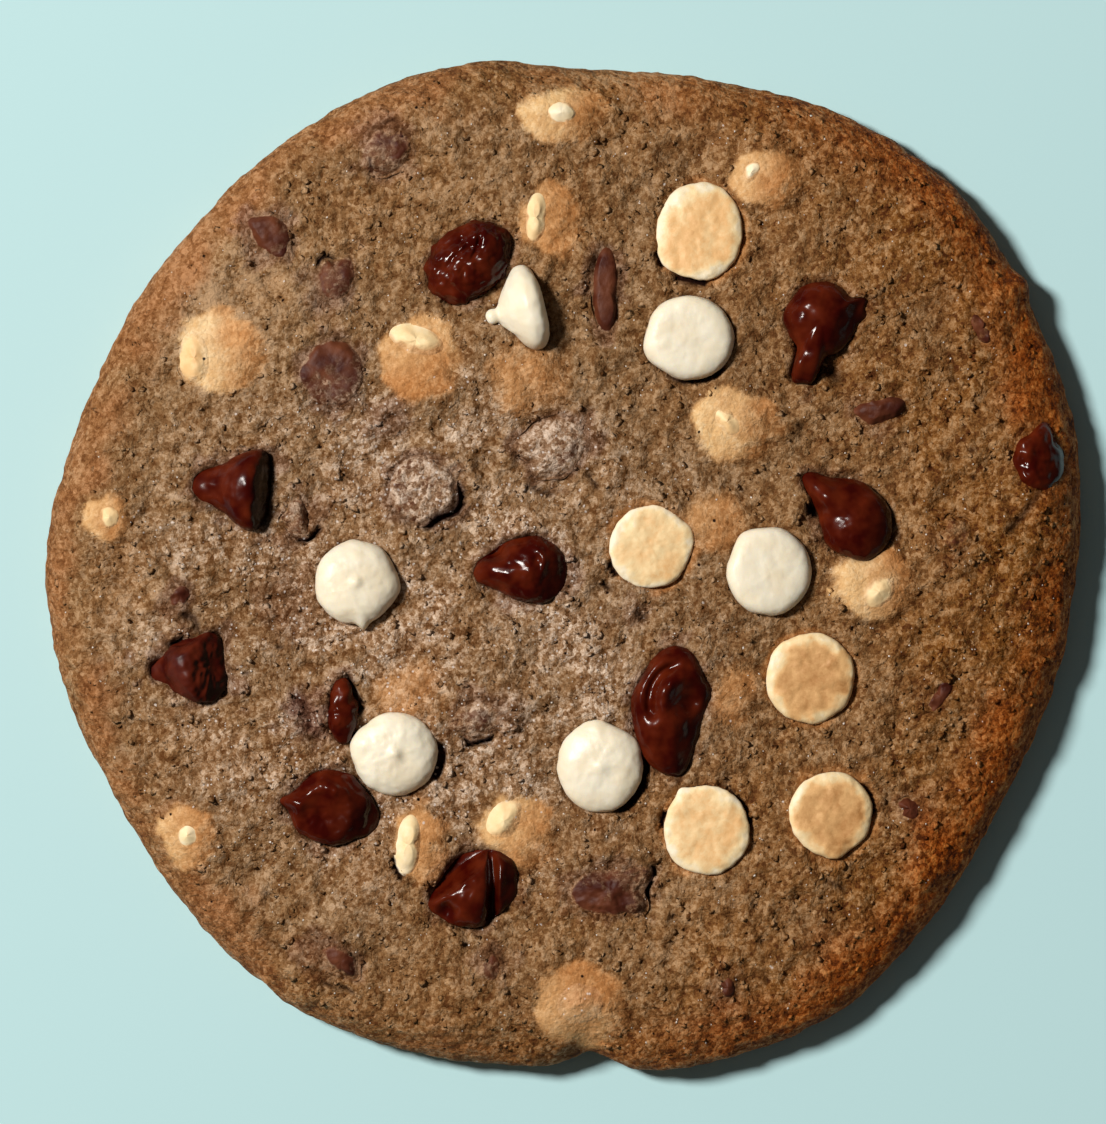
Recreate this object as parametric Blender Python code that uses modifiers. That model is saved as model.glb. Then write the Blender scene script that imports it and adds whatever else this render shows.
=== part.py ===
"""A large soft cookie: one dough disc with an uneven rim, and white and dark chips baked into its top.

Sizes are in millimetres and become metres where a mesh is made. +Z is up. Seen from above, +X is the
right side of the cookie and +Y its far side. The origin is on the flat underside, below the middle.
"""

from dataclasses import dataclass
from enum import Enum

import bmesh
import bpy
import numpy as np

MM = 0.001

# Dough disc
OUTLINE_RADII = (
    59.6, 61.4, 61.9, 62.8, 61.1, 58.5, 57.6, 59.2,
    58.9, 58.1, 58.2, 58.6, 60.2, 59.4, 58.8, 59.3,
    60.1, 59.1, 58.6, 60.3, 61.0, 59.4, 58.0, 58.5,
)  # every 15 degrees from +X, counter-clockwise
CENTRE_THICKNESS = 9.8
SHOULDER_THICKNESS = 7.6
DOME_POWER = 2.4
RIM_WIDTH = 6.0
WAIST_HEIGHT = 2.7
FOOT_INSET = 1.8
TOP_CELLS = 36
RIM_ANGLES = (62.0, 32.0, 0.0)
UNDER_ANGLES = (48.0, 90.0)

# Dents and bumps of the rim: heading in degrees, how far it stands out, and its half width in degrees
RIM_EVENTS = ((273.2, -2.2, 3.6), (31.3, 1.0, 1.6), (96.5, 0.6, 4.5))

# Slow rolls of the top: wavelength, heading in degrees, phase in degrees, height
ROLLS = (
    (46.0, 20.0, 40.0, 0.28),
    (33.0, 105.0, 200.0, 0.24),
    (25.0, 62.0, 310.0, 0.16),
    (19.0, 150.0, 95.0, 0.12),
)

# Mounds of dough over chips that lie below it: x, y, radius, height
MOUNDS = (
    (-0.8, 52.3, 4.3, 1.1),
    (23.3, 44.8, 4.0, 1.2),
    (20.2, 16.1, 4.6, 1.1),
    (35.8, -2.1, 4.3, 1.2),
    (-52.5, 5.3, 3.2, 0.8),
    (-43.5, -31.4, 4.2, 0.8),
    (1.9, -50.8, 5.4, 1.0),
    (-3.1, 40.4, 3.8, 0.8),
    (-17.8, -15.4, 4.2, 0.7),
    (19.7, -14.9, 3.6, 0.7),
    (-4.0, 21.2, 4.2, 0.8),
    (17.4, 5.1, 3.4, 0.5),
    (-14.9, -32.0, 3.6, 0.6),
    (-5.2, -30.2, 3.8, 0.6),
    (-39.4, 23.8, 4.0, 0.7),
    (-17.0, 21.9, 4.2, 0.6),
)

CHIP_SIDES = 12
CAP_SIDES = 8
POCKET_GAP = 0.3
LYING_TILT = 112.0
TAIL_REACH = 0.35


class Form(Enum):
    """How a chip lies, or what baking made of it."""

    FLAT = "flat base up"
    DROP = "tip up"
    LYING = "on its side"
    LUMP = "melted lump"
    CAP = "only its top shows"


# Turned profiles, top to bottom: share of the radius, and share of the height above or below the dough
PROFILES = {
    Form.FLAT: ((0.0, 1.0), (0.89, 0.98), (1.0, 0.3), (0.74, -0.6), (0.0, -1.0)),
    Form.DROP: (
        (0.0, 1.0),
        (0.16, 0.88),
        (0.52, 0.66),
        (0.9, 0.42),
        (1.0, 0.0),
        (0.8, -0.7),
        (0.0, -1.0),
    ),
    Form.LYING: ((0.0, 1.0), (0.2, 0.84), (0.5, 0.38), (0.93, -0.3), (0.95, -0.96), (0.0, -1.0)),
    Form.LUMP: ((0.0, 1.0), (0.5, 0.88), (0.86, 0.52), (1.0, 0.0), (0.78, -0.65), (0.0, -1.0)),
    Form.CAP: ((0.0, 1.0), (0.72, 0.66), (1.0, 0.0), (0.74, -0.7), (0.0, -1.0)),
}


@dataclass(frozen=True)
class Chip:
    """One chip: the middle of what shows of it, its long and short width, and how it sits in the dough.

    turn is the heading of its long width in degrees, and of its tip where it lies on its side. tails are
    drawn-out corners or dents: heading in degrees, how far each reaches, and its half width in degrees.
    """

    x: float
    y: float
    length: float
    width: float
    turn: float = 0.0
    proud: float = 0.6
    sunk: float = 3.2
    form: Form = Form.LUMP
    tails: tuple = ()


WHITE_CHIPS = (
    Chip(-5.6, 29.2, 7.0, 9.9, turn=194.0, proud=4.2, sunk=2.6, form=Form.LYING),
    Chip(14.5, 26.1, 10.5, 9.7, proud=2.0, form=Form.FLAT),
    Chip(23.7, -0.8, 10.3, 9.8, turn=90.0, proud=1.9, form=Form.FLAT),
    Chip(-23.9, -2.1, 9.7, 9.7, proud=2.7, form=Form.DROP, tails=((-81.0, 1.1, 9.0),)),
    Chip(-19.5, -21.9, 10.1, 9.6, proud=2.4, form=Form.DROP),
    Chip(4.2, -23.4, 10.6, 9.9, turn=90.0, proud=2.3, form=Form.DROP),
)

BAKED_CHIPS = (
    Chip(-0.2, 52.2, 3.9, 3.1, turn=0.0, proud=0.5, sunk=1.6, form=Form.CAP),
    Chip(-3.2, 40.0, 6.6, 3.0, turn=86.0, proud=0.6, sunk=2.2, form=Form.CAP),
    Chip(15.7, 38.4, 11.4, 10.1, turn=78.0, proud=0.9, form=Form.FLAT),
    Chip(21.7, 45.3, 3.4, 2.4, turn=60.0, proud=0.45, sunk=1.8, form=Form.CAP),
    Chip(-17.0, 25.9, 7.2, 3.9, turn=-18.0, proud=0.7, sunk=2.6),
    Chip(-42.7, 23.8, 7.0, 4.2, turn=94.0, proud=0.6, sunk=2.4),
    Chip(18.9, 16.4, 4.2, 3.0, turn=-50.0, proud=0.5, sunk=1.8, form=Form.CAP),
    Chip(10.1, 2.0, 9.8, 9.5, turn=30.0, proud=0.8, form=Form.FLAT),
    Chip(-52.5, 5.4, 3.2, 3.0, turn=90.0, proud=0.5, sunk=1.6, form=Form.CAP),
    Chip(36.4, -3.2, 4.8, 4.0, turn=40.0, proud=0.6, sunk=2.2, form=Form.CAP),
    Chip(28.5, -13.2, 10.6, 10.2, turn=70.0, proud=1.0, form=Form.FLAT),
    Chip(16.5, -30.7, 10.4, 10.0, turn=90.0, proud=0.8, form=Form.FLAT, tails=((122.0, 0.5, 9.0),)),
    Chip(30.9, -28.9, 9.9, 9.5, turn=90.0, proud=0.8, form=Form.FLAT),
    Chip(-6.9, -29.6, 6.2, 4.4, turn=60.0, proud=0.6, sunk=2.4),
    Chip(-17.9, -32.4, 7.6, 3.4, turn=86.0, proud=0.6, sunk=2.4),
    Chip(-43.5, -31.4, 3.0, 2.8, turn=90.0, proud=0.45, sunk=1.6, form=Form.CAP),
    Chip(1.9, -50.8, 6.4, 5.6, turn=10.0, proud=0.5, sunk=2.0),
)

DARK_CHIPS = (
    Chip(-10.9, 34.9, 11.0, 8.2, turn=40.0, proud=2.7),
    Chip(29.8, 28.3, 8.6, 8.4, turn=90.0, proud=2.5, tails=((-111.0, 4.4, 14.0), (13.0, 2.2, 13.0))),
    Chip(33.9, 4.8, 9.2, 8.2, turn=-70.0, proud=2.6, tails=((138.0, 3.9, 20.0),)),
    Chip(-38.3, 8.8, 9.5, 9.3, turn=176.0, proud=3.0, sunk=3.0, form=Form.LYING),
    Chip(-43.4, -12.0, 9.6, 8.6, turn=186.0, proud=3.0, sunk=3.0, form=Form.LYING),
    Chip(-3.9, -0.6, 9.2, 7.9, turn=170.0, proud=2.6, tails=((184.0, 1.9, 22.0),)),
    Chip(
        12.3, -16.6, 14.6, 8.2, turn=82.0, proud=2.4,
        tails=((-80.0, 1.0, 14.0), (25.0, 0.8, 16.0), (164.0, 0.8, 24.0)),
    ),
    Chip(-27.0, -28.1, 9.2, 8.8, turn=10.0, proud=2.1, tails=((172.0, 1.0, 9.0), (-18.0, 1.5, 24.0))),
    Chip(-10.1, -37.4, 10.4, 8.4, turn=38.0, proud=2.4),
    Chip(-25.5, -17.0, 7.6, 3.4, turn=90.0, proud=1.6, sunk=2.6),
    Chip(55.0, 12.1, 7.8, 6.4, turn=96.0, proud=0.9, sunk=2.4),
)

SUNKEN_CHIPS = (
    Chip(-33.8, 38.1, 5.6, 4.6, turn=-48.0, proud=0.6, tails=((150.0, 0.7, 18.0), (-55.0, 0.5, 18.0))),
    Chip(-26.7, 22.0, 8.0, 8.3, proud=0.6, form=Form.FLAT),
    Chip(-16.3, 8.7, 8.3, 8.1, turn=40.0, proud=0.7, form=Form.FLAT),
    Chip(-1.3, 13.5, 8.6, 7.4, turn=20.0, proud=0.8),
    Chip(4.8, 31.8, 10.4, 3.4, turn=88.0, proud=0.5, sunk=2.6),
    Chip(-26.3, 33.0, 6.0, 5.0, turn=60.0, proud=0.6),
    Chip(-20.6, 47.6, 6.8, 5.8, turn=30.0, proud=0.6, sunk=2.8),
    Chip(-30.5, 5.3, 5.0, 4.4, turn=100.0, proud=0.7, sunk=2.6),
    Chip(-44.3, -3.6, 3.4, 3.0, turn=40.0, proud=0.5, sunk=2.2, form=Form.CAP),
    Chip(-10.3, -18.0, 6.4, 4.8, turn=10.0, proud=0.8, sunk=2.6),
    Chip(5.4, -37.8, 10.0, 6.2, turn=8.0, proud=0.7, tails=((-28.0, 0.8, 20.0),)),
    Chip(-25.7, -45.8, 5.8, 3.6, turn=-32.0, proud=0.5, sunk=2.2, form=Form.CAP),
    Chip(-8.4, -46.7, 3.8, 3.0, turn=80.0, proud=0.5, sunk=2.0, form=Form.CAP),
    Chip(19.0, -49.0, 3.2, 2.4, turn=100.0, proud=0.5, sunk=2.0, form=Form.CAP),
    Chip(43.6, -15.3, 4.8, 2.2, turn=54.0, proud=0.5, sunk=2.0, form=Form.CAP),
    Chip(40.1, -28.3, 3.4, 2.6, turn=-50.0, proud=0.5, sunk=2.0, form=Form.CAP),
    Chip(45.2, 3.5, 4.8, 4.2, turn=30.0, proud=0.5, sunk=2.4, form=Form.CAP),
    Chip(48.2, 27.1, 4.6, 2.2, turn=-62.0, proud=0.45, sunk=2.0, form=Form.CAP),
    Chip(36.5, 17.7, 6.8, 3.4, turn=14.0, proud=0.6, sunk=2.4),
)


@dataclass(frozen=True)
class Finish:
    """A plain finish: its name, colour as linear red, green and blue, and roughness."""

    name: str
    colour: tuple
    roughness: float


DOUGH_FINISH = Finish("baked_dough", (0.175, 0.105, 0.058), 0.85)
CHIP_FAMILIES = (
    ("white_chip", WHITE_CHIPS, Finish("white_chocolate", (0.93, 0.85, 0.66), 0.4)),
    ("baked_chip", BAKED_CHIPS, Finish("baked_white_chocolate", (0.80, 0.52, 0.22), 0.55)),
    ("dark_chip", DARK_CHIPS, Finish("glossy_dark_chocolate", (0.055, 0.012, 0.008), 0.2)),
    ("sunken_chip", SUNKEN_CHIPS, Finish("dull_dark_chocolate", (0.095, 0.045, 0.036), 0.6)),
)


def clear_scene():
    """Take every object out of the scene."""
    for obj in list(bpy.data.objects):
        bpy.data.objects.remove(obj, do_unlink=True)


def make_collection(name):
    """A new collection in the scene."""
    collection = bpy.data.collections.new(name)
    bpy.context.scene.collection.children.link(collection)
    return collection


def make_material(finish):
    """A Principled BSDF material with one colour and roughness."""
    material = bpy.data.materials.new(finish.name)
    material.use_nodes = True
    shader = material.node_tree.nodes["Principled BSDF"]
    shader.inputs["Base Color"].default_value = (*finish.colour, 1.0)
    shader.inputs["Roughness"].default_value = finish.roughness
    shader.inputs["Metallic"].default_value = 0.0
    return material


def degrees_between(angle, heading):
    """The turn from heading, in degrees, to each angle, in radians: degrees from -180 to 180."""
    return (np.degrees(angle) - heading + 180.0) % 360.0 - 180.0


def outline_radius(angle):
    """Distance from the middle to the rim: a periodic cubic through OUTLINE_RADII, with RIM_EVENTS added."""
    radii = np.array(OUTLINE_RADII)
    place = (np.degrees(angle) % 360.0) / 360.0 * len(radii)
    first = np.floor(place).astype(int)
    t = place - first
    before, start, end, after = (radii[(first + k) % len(radii)] for k in (-1, 0, 1, 2))
    slope_in = (end - before) / 2
    slope_out = (after - start) / 2
    radius = (
        (2 * t**3 - 3 * t**2 + 1) * start
        + (t**3 - 2 * t**2 + t) * slope_in
        + (3 * t**2 - 2 * t**3) * end
        + (t**3 - t**2) * slope_out
    )
    for heading, reach, width in RIM_EVENTS:
        radius = radius + reach * np.exp(-((degrees_between(angle, heading) / width) ** 2))
    return radius


def top_height(x, y):
    """Height of the dough's top: a low dome with slow rolls and mounds, which rounds down at the rim."""
    reach = outline_radius(np.arctan2(y, x))
    distance = np.hypot(x, y)
    share = np.minimum(distance / reach, 1.0)
    height = CENTRE_THICKNESS - (CENTRE_THICKNESS - SHOULDER_THICKNESS) * share**DOME_POWER
    for wavelength, heading, phase, size in ROLLS:
        along = x * np.cos(np.radians(heading)) + y * np.sin(np.radians(heading))
        height = height + size * np.sin(2 * np.pi * along / wavelength + np.radians(phase))
    for mound_x, mound_y, radius, size in MOUNDS:
        square = ((x - mound_x) ** 2 + (y - mound_y) ** 2) / radius**2
        height = height + size * np.exp(-(square**1.5))
    inset = np.clip((reach - distance) / RIM_WIDTH, 0.0, 1.0)
    return WAIST_HEIGHT + (height - WAIST_HEIGHT) * np.sqrt(1.0 - (1.0 - inset) ** 2)


def disc_place(a, b):
    """Concentric map from the square -1 to 1 to the unit disc: distance from the middle, and angle."""
    wide = np.abs(a) > np.abs(b)
    distance = np.where(wide, a, b)
    divisor = np.where(distance == 0.0, 1.0, distance)
    angle = np.where(wide, np.pi / 4 * b / divisor, np.pi / 2 - np.pi / 4 * a / divisor)
    return np.abs(distance), np.where(distance < 0.0, angle + np.pi, angle)


def read_points(mesh_verts):
    """The places of bmesh vertices as an array."""
    return np.array([vert.co[:] for vert in mesh_verts])


def write_points(mesh_verts, points):
    """Move bmesh vertices to the rows of an array."""
    for vert, point in zip(mesh_verts, points, strict=True):
        vert.co = point


def rim_ring(angle, inset, rise, is_upper):
    """Points of one ring round the rim.

    angle is each point's heading. inset and rise are the cosine and sine of the ring's place on the
    rim's quarter ellipse, above the waist or, for the lower rings, below it.
    """
    reach = outline_radius(angle)
    if is_upper:
        distance = reach - RIM_WIDTH * (1.0 - inset)
        height = top_height(distance * np.cos(angle), distance * np.sin(angle))
    else:
        distance = reach - FOOT_INSET * (1.0 - inset)
        height = np.full_like(distance, WAIST_HEIGHT * (1.0 - rise))
    return np.column_stack((distance * np.cos(angle), distance * np.sin(angle), height))


def make_dough(collection):
    """The dough disc: a grid mapped to the outline, its border drawn round the rim and closed below."""
    bm = bmesh.new()
    bmesh.ops.create_grid(bm, x_segments=TOP_CELLS, y_segments=TOP_CELLS, size=1.0)
    top = list(bm.verts)
    grid = read_points(top)
    distance, angle = disc_place(grid[:, 0], grid[:, 1])
    distance = distance * (outline_radius(angle) - RIM_WIDTH)
    x = distance * np.cos(angle)
    y = distance * np.sin(angle)
    write_points(top, np.column_stack((x, y, top_height(x, y))))
    border = [edge for edge in bm.edges if edge.is_boundary]
    rings = [(angle_deg, True) for angle_deg in RIM_ANGLES] + [(angle_deg, False) for angle_deg in UNDER_ANGLES]
    for ring_angle, is_upper in rings:
        made = bmesh.ops.extrude_edge_only(bm, edges=border)["geom"]
        ring = [item for item in made if isinstance(item, bmesh.types.BMVert)]
        border = [item for item in made if isinstance(item, bmesh.types.BMEdge)]
        points = read_points(ring)
        heading = np.arctan2(points[:, 1], points[:, 0])
        inset, rise = np.cos(np.radians(ring_angle)), np.sin(np.radians(ring_angle))
        write_points(ring, rim_ring(heading, inset, rise, is_upper))
    bmesh.ops.contextual_create(bm, geom=border)
    for vert in bm.verts:
        vert.co = vert.co * MM
    bmesh.ops.recalc_face_normals(bm, faces=bm.faces[:])
    mesh = bpy.data.meshes.new("dough")
    bm.to_mesh(mesh)
    bm.free()
    mesh.materials.append(make_material(DOUGH_FINISH))
    mesh.shade_smooth()
    dough = bpy.data.objects.new("dough", mesh)
    collection.objects.link(dough)
    return dough


def turned_mesh(form, sides):
    """A closed unit solid: the form's profile carried once round +Z by a Screw modifier."""
    profile = PROFILES[form]
    mesh = bpy.data.meshes.new("profile")
    edges = [(k, k + 1) for k in range(len(profile) - 1)]
    mesh.from_pydata([(radius, 0.0, height) for radius, height in profile], edges, [])
    guide = bpy.data.objects.new("profile", mesh)
    bpy.context.scene.collection.objects.link(guide)
    screw = guide.modifiers.new("Turn", "SCREW")
    screw.steps = screw.render_steps = sides
    screw.use_merge_vertices = True
    screw.merge_threshold = 0.0001
    graph = bpy.context.evaluated_depsgraph_get()
    solid = bpy.data.meshes.new_from_object(guide.evaluated_get(graph))
    bpy.data.objects.remove(guide, do_unlink=True)
    return solid


def laid_down(points):
    """Unit chip points tipped by LYING_TILT, so that the tip points along +X and a little down."""
    tilt = np.radians(LYING_TILT)
    x = points[:, 0] * np.cos(tilt) + points[:, 2] * np.sin(tilt)
    z = points[:, 2] * np.cos(tilt) - points[:, 0] * np.sin(tilt)
    tipped = np.column_stack((x, points[:, 1], z))
    low, high = tipped.min(axis=0), tipped.max(axis=0)
    return (tipped - low) / (high - low) * 2.0 - 1.0


def chip_points(chip, unit, gap):
    """The chip's points in the cookie's frame, grown on every side by gap.

    The unit solid is stretched to the chip's widths and depths, its tails are drawn out, it is turned to
    its heading, and it is set on the slope that the dough has at its middle.
    """
    half_length = chip.length / 2 + gap
    half_width = chip.width / 2 + gap
    base = laid_down(unit) if chip.form is Form.LYING else unit
    depth = np.where(base[:, 2] > 0.0, chip.proud + gap, chip.sunk + gap)
    along, across = base[:, 0] * half_length, base[:, 1] * half_width
    turn = np.radians(chip.turn)
    x = along * np.cos(turn) - across * np.sin(turn)
    y = along * np.sin(turn) + across * np.cos(turn)
    distance = np.hypot(x, y)
    angle = np.arctan2(y, x)
    stretch = np.ones_like(distance)
    for heading, reach, width in chip.tails:
        edge = (half_length + half_width) / 2
        stretch = stretch + reach / edge * np.exp(-((degrees_between(angle, heading) / width) ** 2))
    x, y = chip.x + x * stretch, chip.y + y * stretch
    step = TAIL_REACH * chip.width
    slope_x = (top_height(chip.x + step, chip.y) - top_height(chip.x - step, chip.y)) / (2 * step)
    slope_y = (top_height(chip.x, chip.y + step) - top_height(chip.x, chip.y - step)) / (2 * step)
    level = top_height(chip.x, chip.y) + slope_x * (x - chip.x) + slope_y * (y - chip.y)
    return np.column_stack((x, y, level + base[:, 2] * depth))


def make_chip(name, chip, unit_mesh, gap):
    """An object for a chip, or with a gap for the pocket that the chip needs."""
    mesh = unit_mesh.copy()
    mesh.name = name
    unit = np.empty(len(mesh.vertices) * 3)
    mesh.vertices.foreach_get("co", unit)
    points = chip_points(chip, unit.reshape(-1, 3), gap) * MM
    mesh.vertices.foreach_set("co", points.ravel())
    mesh.shade_smooth()
    mesh.update()
    return bpy.data.objects.new(name, mesh)


def add_chips(parts, pockets):
    """Every chip as its own object, with its pocket in the cutters' collection."""
    unit_meshes = {
        form: turned_mesh(form, CAP_SIDES if form is Form.CAP else CHIP_SIDES) for form in Form
    }
    for family, chips, finish in CHIP_FAMILIES:
        material = make_material(finish)
        for number, chip in enumerate(chips, start=1):
            name = f"{family}_{number:02d}"
            solid = make_chip(name, chip, unit_meshes[chip.form], 0.0)
            solid.data.materials.append(material)
            parts.objects.link(solid)
            pocket = make_chip(f"pocket_{name}", chip, unit_meshes[chip.form], POCKET_GAP)
            pocket.display_type = "WIRE"
            pocket.hide_render = True
            pockets.objects.link(pocket)
    for mesh in unit_meshes.values():
        bpy.data.meshes.remove(mesh)


def cut_pockets(dough, pockets):
    """Cut every chip's pocket out of the dough."""
    cut = dough.modifiers.new("Chip pockets", "BOOLEAN")
    cut.operation = "DIFFERENCE"
    cut.solver = "EXACT"
    cut.operand_type = "COLLECTION"
    cut.collection = pockets


def main():
    """Build the cookie."""
    clear_scene()
    parts = make_collection("chip_cookie")
    pockets = make_collection("chip_pockets")
    dough = make_dough(parts)
    add_chips(parts, pockets)
    cut_pockets(dough, pockets)


main()
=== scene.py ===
"""Looks of a large chip cookie: baked dough with white and dark chocolate chips set into its top.

Lengths are in millimetres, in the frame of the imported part: +Z is up, +X and +Y are the right and the far
side of the cookie as the photograph shows it, and the origin is on the underside. They become metres where
a mesh is made. Every surface is worked out as whole arrays from a formula that its docstring gives.
"""

from __future__ import annotations

import logging
from abc import ABC, abstractmethod
from collections.abc import Mapping
from dataclasses import dataclass
from enum import Enum, IntEnum
from itertools import product
from typing import Any

import bpy
import numpy as np
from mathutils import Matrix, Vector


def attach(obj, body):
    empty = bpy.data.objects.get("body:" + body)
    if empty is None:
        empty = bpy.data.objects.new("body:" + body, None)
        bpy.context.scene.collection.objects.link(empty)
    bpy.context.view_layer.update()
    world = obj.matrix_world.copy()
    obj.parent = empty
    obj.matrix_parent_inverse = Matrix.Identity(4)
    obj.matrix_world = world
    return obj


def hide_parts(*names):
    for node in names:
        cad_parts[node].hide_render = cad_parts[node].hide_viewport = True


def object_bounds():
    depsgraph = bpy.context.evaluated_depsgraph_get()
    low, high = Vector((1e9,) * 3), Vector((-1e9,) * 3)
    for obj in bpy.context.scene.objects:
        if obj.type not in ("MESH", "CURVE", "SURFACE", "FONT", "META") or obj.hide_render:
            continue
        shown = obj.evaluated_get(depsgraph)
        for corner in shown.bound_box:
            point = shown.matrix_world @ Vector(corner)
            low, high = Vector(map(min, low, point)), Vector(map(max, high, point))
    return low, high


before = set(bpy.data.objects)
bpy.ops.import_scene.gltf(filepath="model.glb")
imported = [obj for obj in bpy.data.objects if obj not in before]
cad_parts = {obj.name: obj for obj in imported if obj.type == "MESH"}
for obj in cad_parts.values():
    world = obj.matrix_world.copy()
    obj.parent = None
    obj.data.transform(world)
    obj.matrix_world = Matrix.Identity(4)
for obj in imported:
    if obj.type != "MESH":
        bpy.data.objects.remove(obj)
CAD_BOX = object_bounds()

Array = np.ndarray
Rows = tuple[tuple[float, ...], ...]
Socket = bpy.types.NodeSocket
Tree = bpy.types.NodeTree
LOG = logging.getLogger("cookie")

MM = 0.001
BODY = "root"

# The photograph: its size, its scale, and the cookie's middle in its pixels
PHOTO_WIDTH = 1106
PHOTO_HEIGHT = 1124
MM_PER_PIXEL = 0.1158
COOKIE_PIXEL_X = 563.5
COOKIE_PIXEL_Y = 564.0


def smooth_step(value: Array, low: float, high: float) -> Array:
    """Ease from 0 at low to 1 at high.

    Args:
        value: Where to read the curve.
        low: The value where the curve leaves 0.
        high: The value where it reaches 1. It may lie below low.

    Returns:
        3t^2 - 2t^3, with t the share of the way from low to high.
    """
    share = np.clip((value - low) / (high - low), 0.0, 1.0)
    return share * share * (3.0 - 2.0 * share)


def bell(distance: Array, width: float) -> Array:
    """A bell curve: exp(-(distance / width)^2)."""
    return np.exp(-((distance / width) ** 2))


def degrees_between(angle: Array, heading: float) -> Array:
    """The turn from heading, in degrees, to each angle, in radians: degrees from -180 to 180."""
    return (np.degrees(angle) - heading + 180.0) % 360.0 - 180.0


def lattice_noise(points: Array, size: float, seed: int) -> Array:
    """Smooth random values in the plane or in space.

    Each crossing of a square lattice has a random value from -1 to 1, and a point takes the values of the
    crossings round it, blended along each axis by 6t^5 - 15t^4 + 10t^3. The values repeat every 64
    crossings, so that a place has the same value in every piece.

    Args:
        points: One row for each point, in millimetres.
        size: The lattice spacing.
        seed: Seed of the random draw.

    Returns:
        One value for each point.
    """
    place = points / size
    cell = np.floor(place).astype(int)
    values = np.random.default_rng(seed).uniform(-1.0, 1.0, (64,) * points.shape[1])
    share = place - cell
    blend = share**3 * (share * (6.0 * share - 15.0) + 10.0)
    total = np.zeros(len(points))
    for corner in product((0, 1), repeat=points.shape[1]):
        step = np.array(corner)
        weight = np.prod(np.where(step == 1, blend, 1.0 - blend), axis=1)
        total += weight * values[tuple((cell + step).T % 64)]
    return total


def layered_noise(points: Array, size: float, layers: int, seed: int) -> Array:
    """Lattice noise in layers, each half as coarse and 0.62 as strong, turned so that no lattice shows.

    Args:
        points: One row for each point, in millimetres.
        size: The spacing of the coarsest layer.
        layers: How many layers are added.
        seed: Seed of the first layer.

    Returns:
        One value for each point, with a spread of about 1.
    """
    layer_turn, layer_weight, lattice_spread = 0.65, 0.62, 0.38
    total = np.zeros(len(points))
    power = 0.0
    for layer in range(layers):
        turn = layer_turn * (layer + 1)
        turned = points.copy()
        turned[:, 0] = points[:, 0] * np.cos(turn) - points[:, 1] * np.sin(turn)
        turned[:, 1] = points[:, 0] * np.sin(turn) + points[:, 1] * np.cos(turn)
        weight = layer_weight**layer
        total += weight * lattice_noise(turned, size / 2**layer, seed + layer)
        power += weight**2
    return total / (lattice_spread * np.sqrt(power))


def scattered_distance(points: Array, size: float, share: float, seed: int) -> Array:
    """Distance to the nearest of scattered spots, for pores and specks.

    A square grid holds one spot in each cell, moved at random inside it, and repeats every 64 cells. Only
    a share of the spots is used.

    Args:
        points: Rows of x and y, in millimetres.
        size: The grid's spacing.
        share: The share of spots in use.
        seed: Seed of the random draw.

    Returns:
        The distance in millimetres, or ten spacings where no spot in use is near.
    """
    place = points / size
    cell = np.floor(place).astype(int)
    rng = np.random.default_rng(seed)
    spot_x, spot_y, chance = rng.uniform(0.1, 0.9, (3, 64, 64))
    used = chance < 0.1 + 0.8 * share
    nearest = np.full(len(points), 10.0)
    for step_x, step_y in product((-1, 0, 1), repeat=2):
        index = ((cell[:, 0] + step_x) % 64, (cell[:, 1] + step_y) % 64)
        far_x = cell[:, 0] + step_x + spot_x[index] - place[:, 0]
        far_y = cell[:, 1] + step_y + spot_y[index] - place[:, 1]
        distance = np.where(used[index], np.hypot(far_x, far_y), 10.0)
        nearest = np.minimum(nearest, distance)
    return nearest * size


def path_distance(points: Array, path: Rows) -> Array:
    """Distance in the plane from each point to a path of straight runs.

    Args:
        points: Rows of x and y, in millimetres.
        path: The path's corners, from end to end.

    Returns:
        One distance for each point, in millimetres.
    """
    nearest = np.full(len(points), np.inf)
    for start, end in zip(path[:-1], path[1:], strict=True):
        origin = np.array(start)
        run = np.array(end) - origin
        share = np.clip((points - origin) @ run / (run @ run), 0.0, 1.0)
        gap = points - origin - share[:, None] * run
        nearest = np.minimum(nearest, np.hypot(gap[:, 0], gap[:, 1]))
    return nearest


def make_piece(name: str, points: Array, faces: list[Array], smooth: bool = True) -> bpy.types.Object:
    """Put arrays into a mesh object at the origin.

    Args:
        name: The piece's name.
        points: One row for each vertex, in millimetres.
        faces: Arrays of vertex numbers, one row for each face, counter-clockwise from outside.
        smooth: Whether its faces are shaded as one round surface.

    Returns:
        The new object, linked to the scene.
    """
    corners = np.concatenate([rows.ravel() for rows in faces])
    sizes = np.concatenate([np.full(len(rows), rows.shape[1]) for rows in faces])
    mesh = bpy.data.meshes.new(name)
    mesh.vertices.add(len(points))
    mesh.vertices.foreach_set("co", (points * MM).astype(np.float32).ravel())
    mesh.loops.add(len(corners))
    mesh.loops.foreach_set("vertex_index", corners.astype(np.int32))
    mesh.polygons.add(len(sizes))
    mesh.polygons.foreach_set("loop_start", np.concatenate(([0], np.cumsum(sizes)[:-1])).astype(np.int32))
    mesh.update(calc_edges=True)
    if smooth:
        mesh.shade_smooth()
    piece = bpy.data.objects.new(name, mesh)
    bpy.context.scene.collection.objects.link(piece)
    return piece


def within_box(points: Array) -> Array:
    """Points in millimetres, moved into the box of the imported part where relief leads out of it."""
    low, high = (np.array(corner) / MM for corner in CAD_BOX)
    return np.clip(points, low, high)


def write_mask(piece: bpy.types.Object, name: str, values: Array) -> None:
    """Store one number for each vertex, clipped to 0 to 1, for a material to read."""
    attribute = piece.data.attributes.new(name, "FLOAT", "POINT")
    attribute.data.foreach_set("value", np.clip(values, 0.0, 1.0).astype(np.float32))


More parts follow.
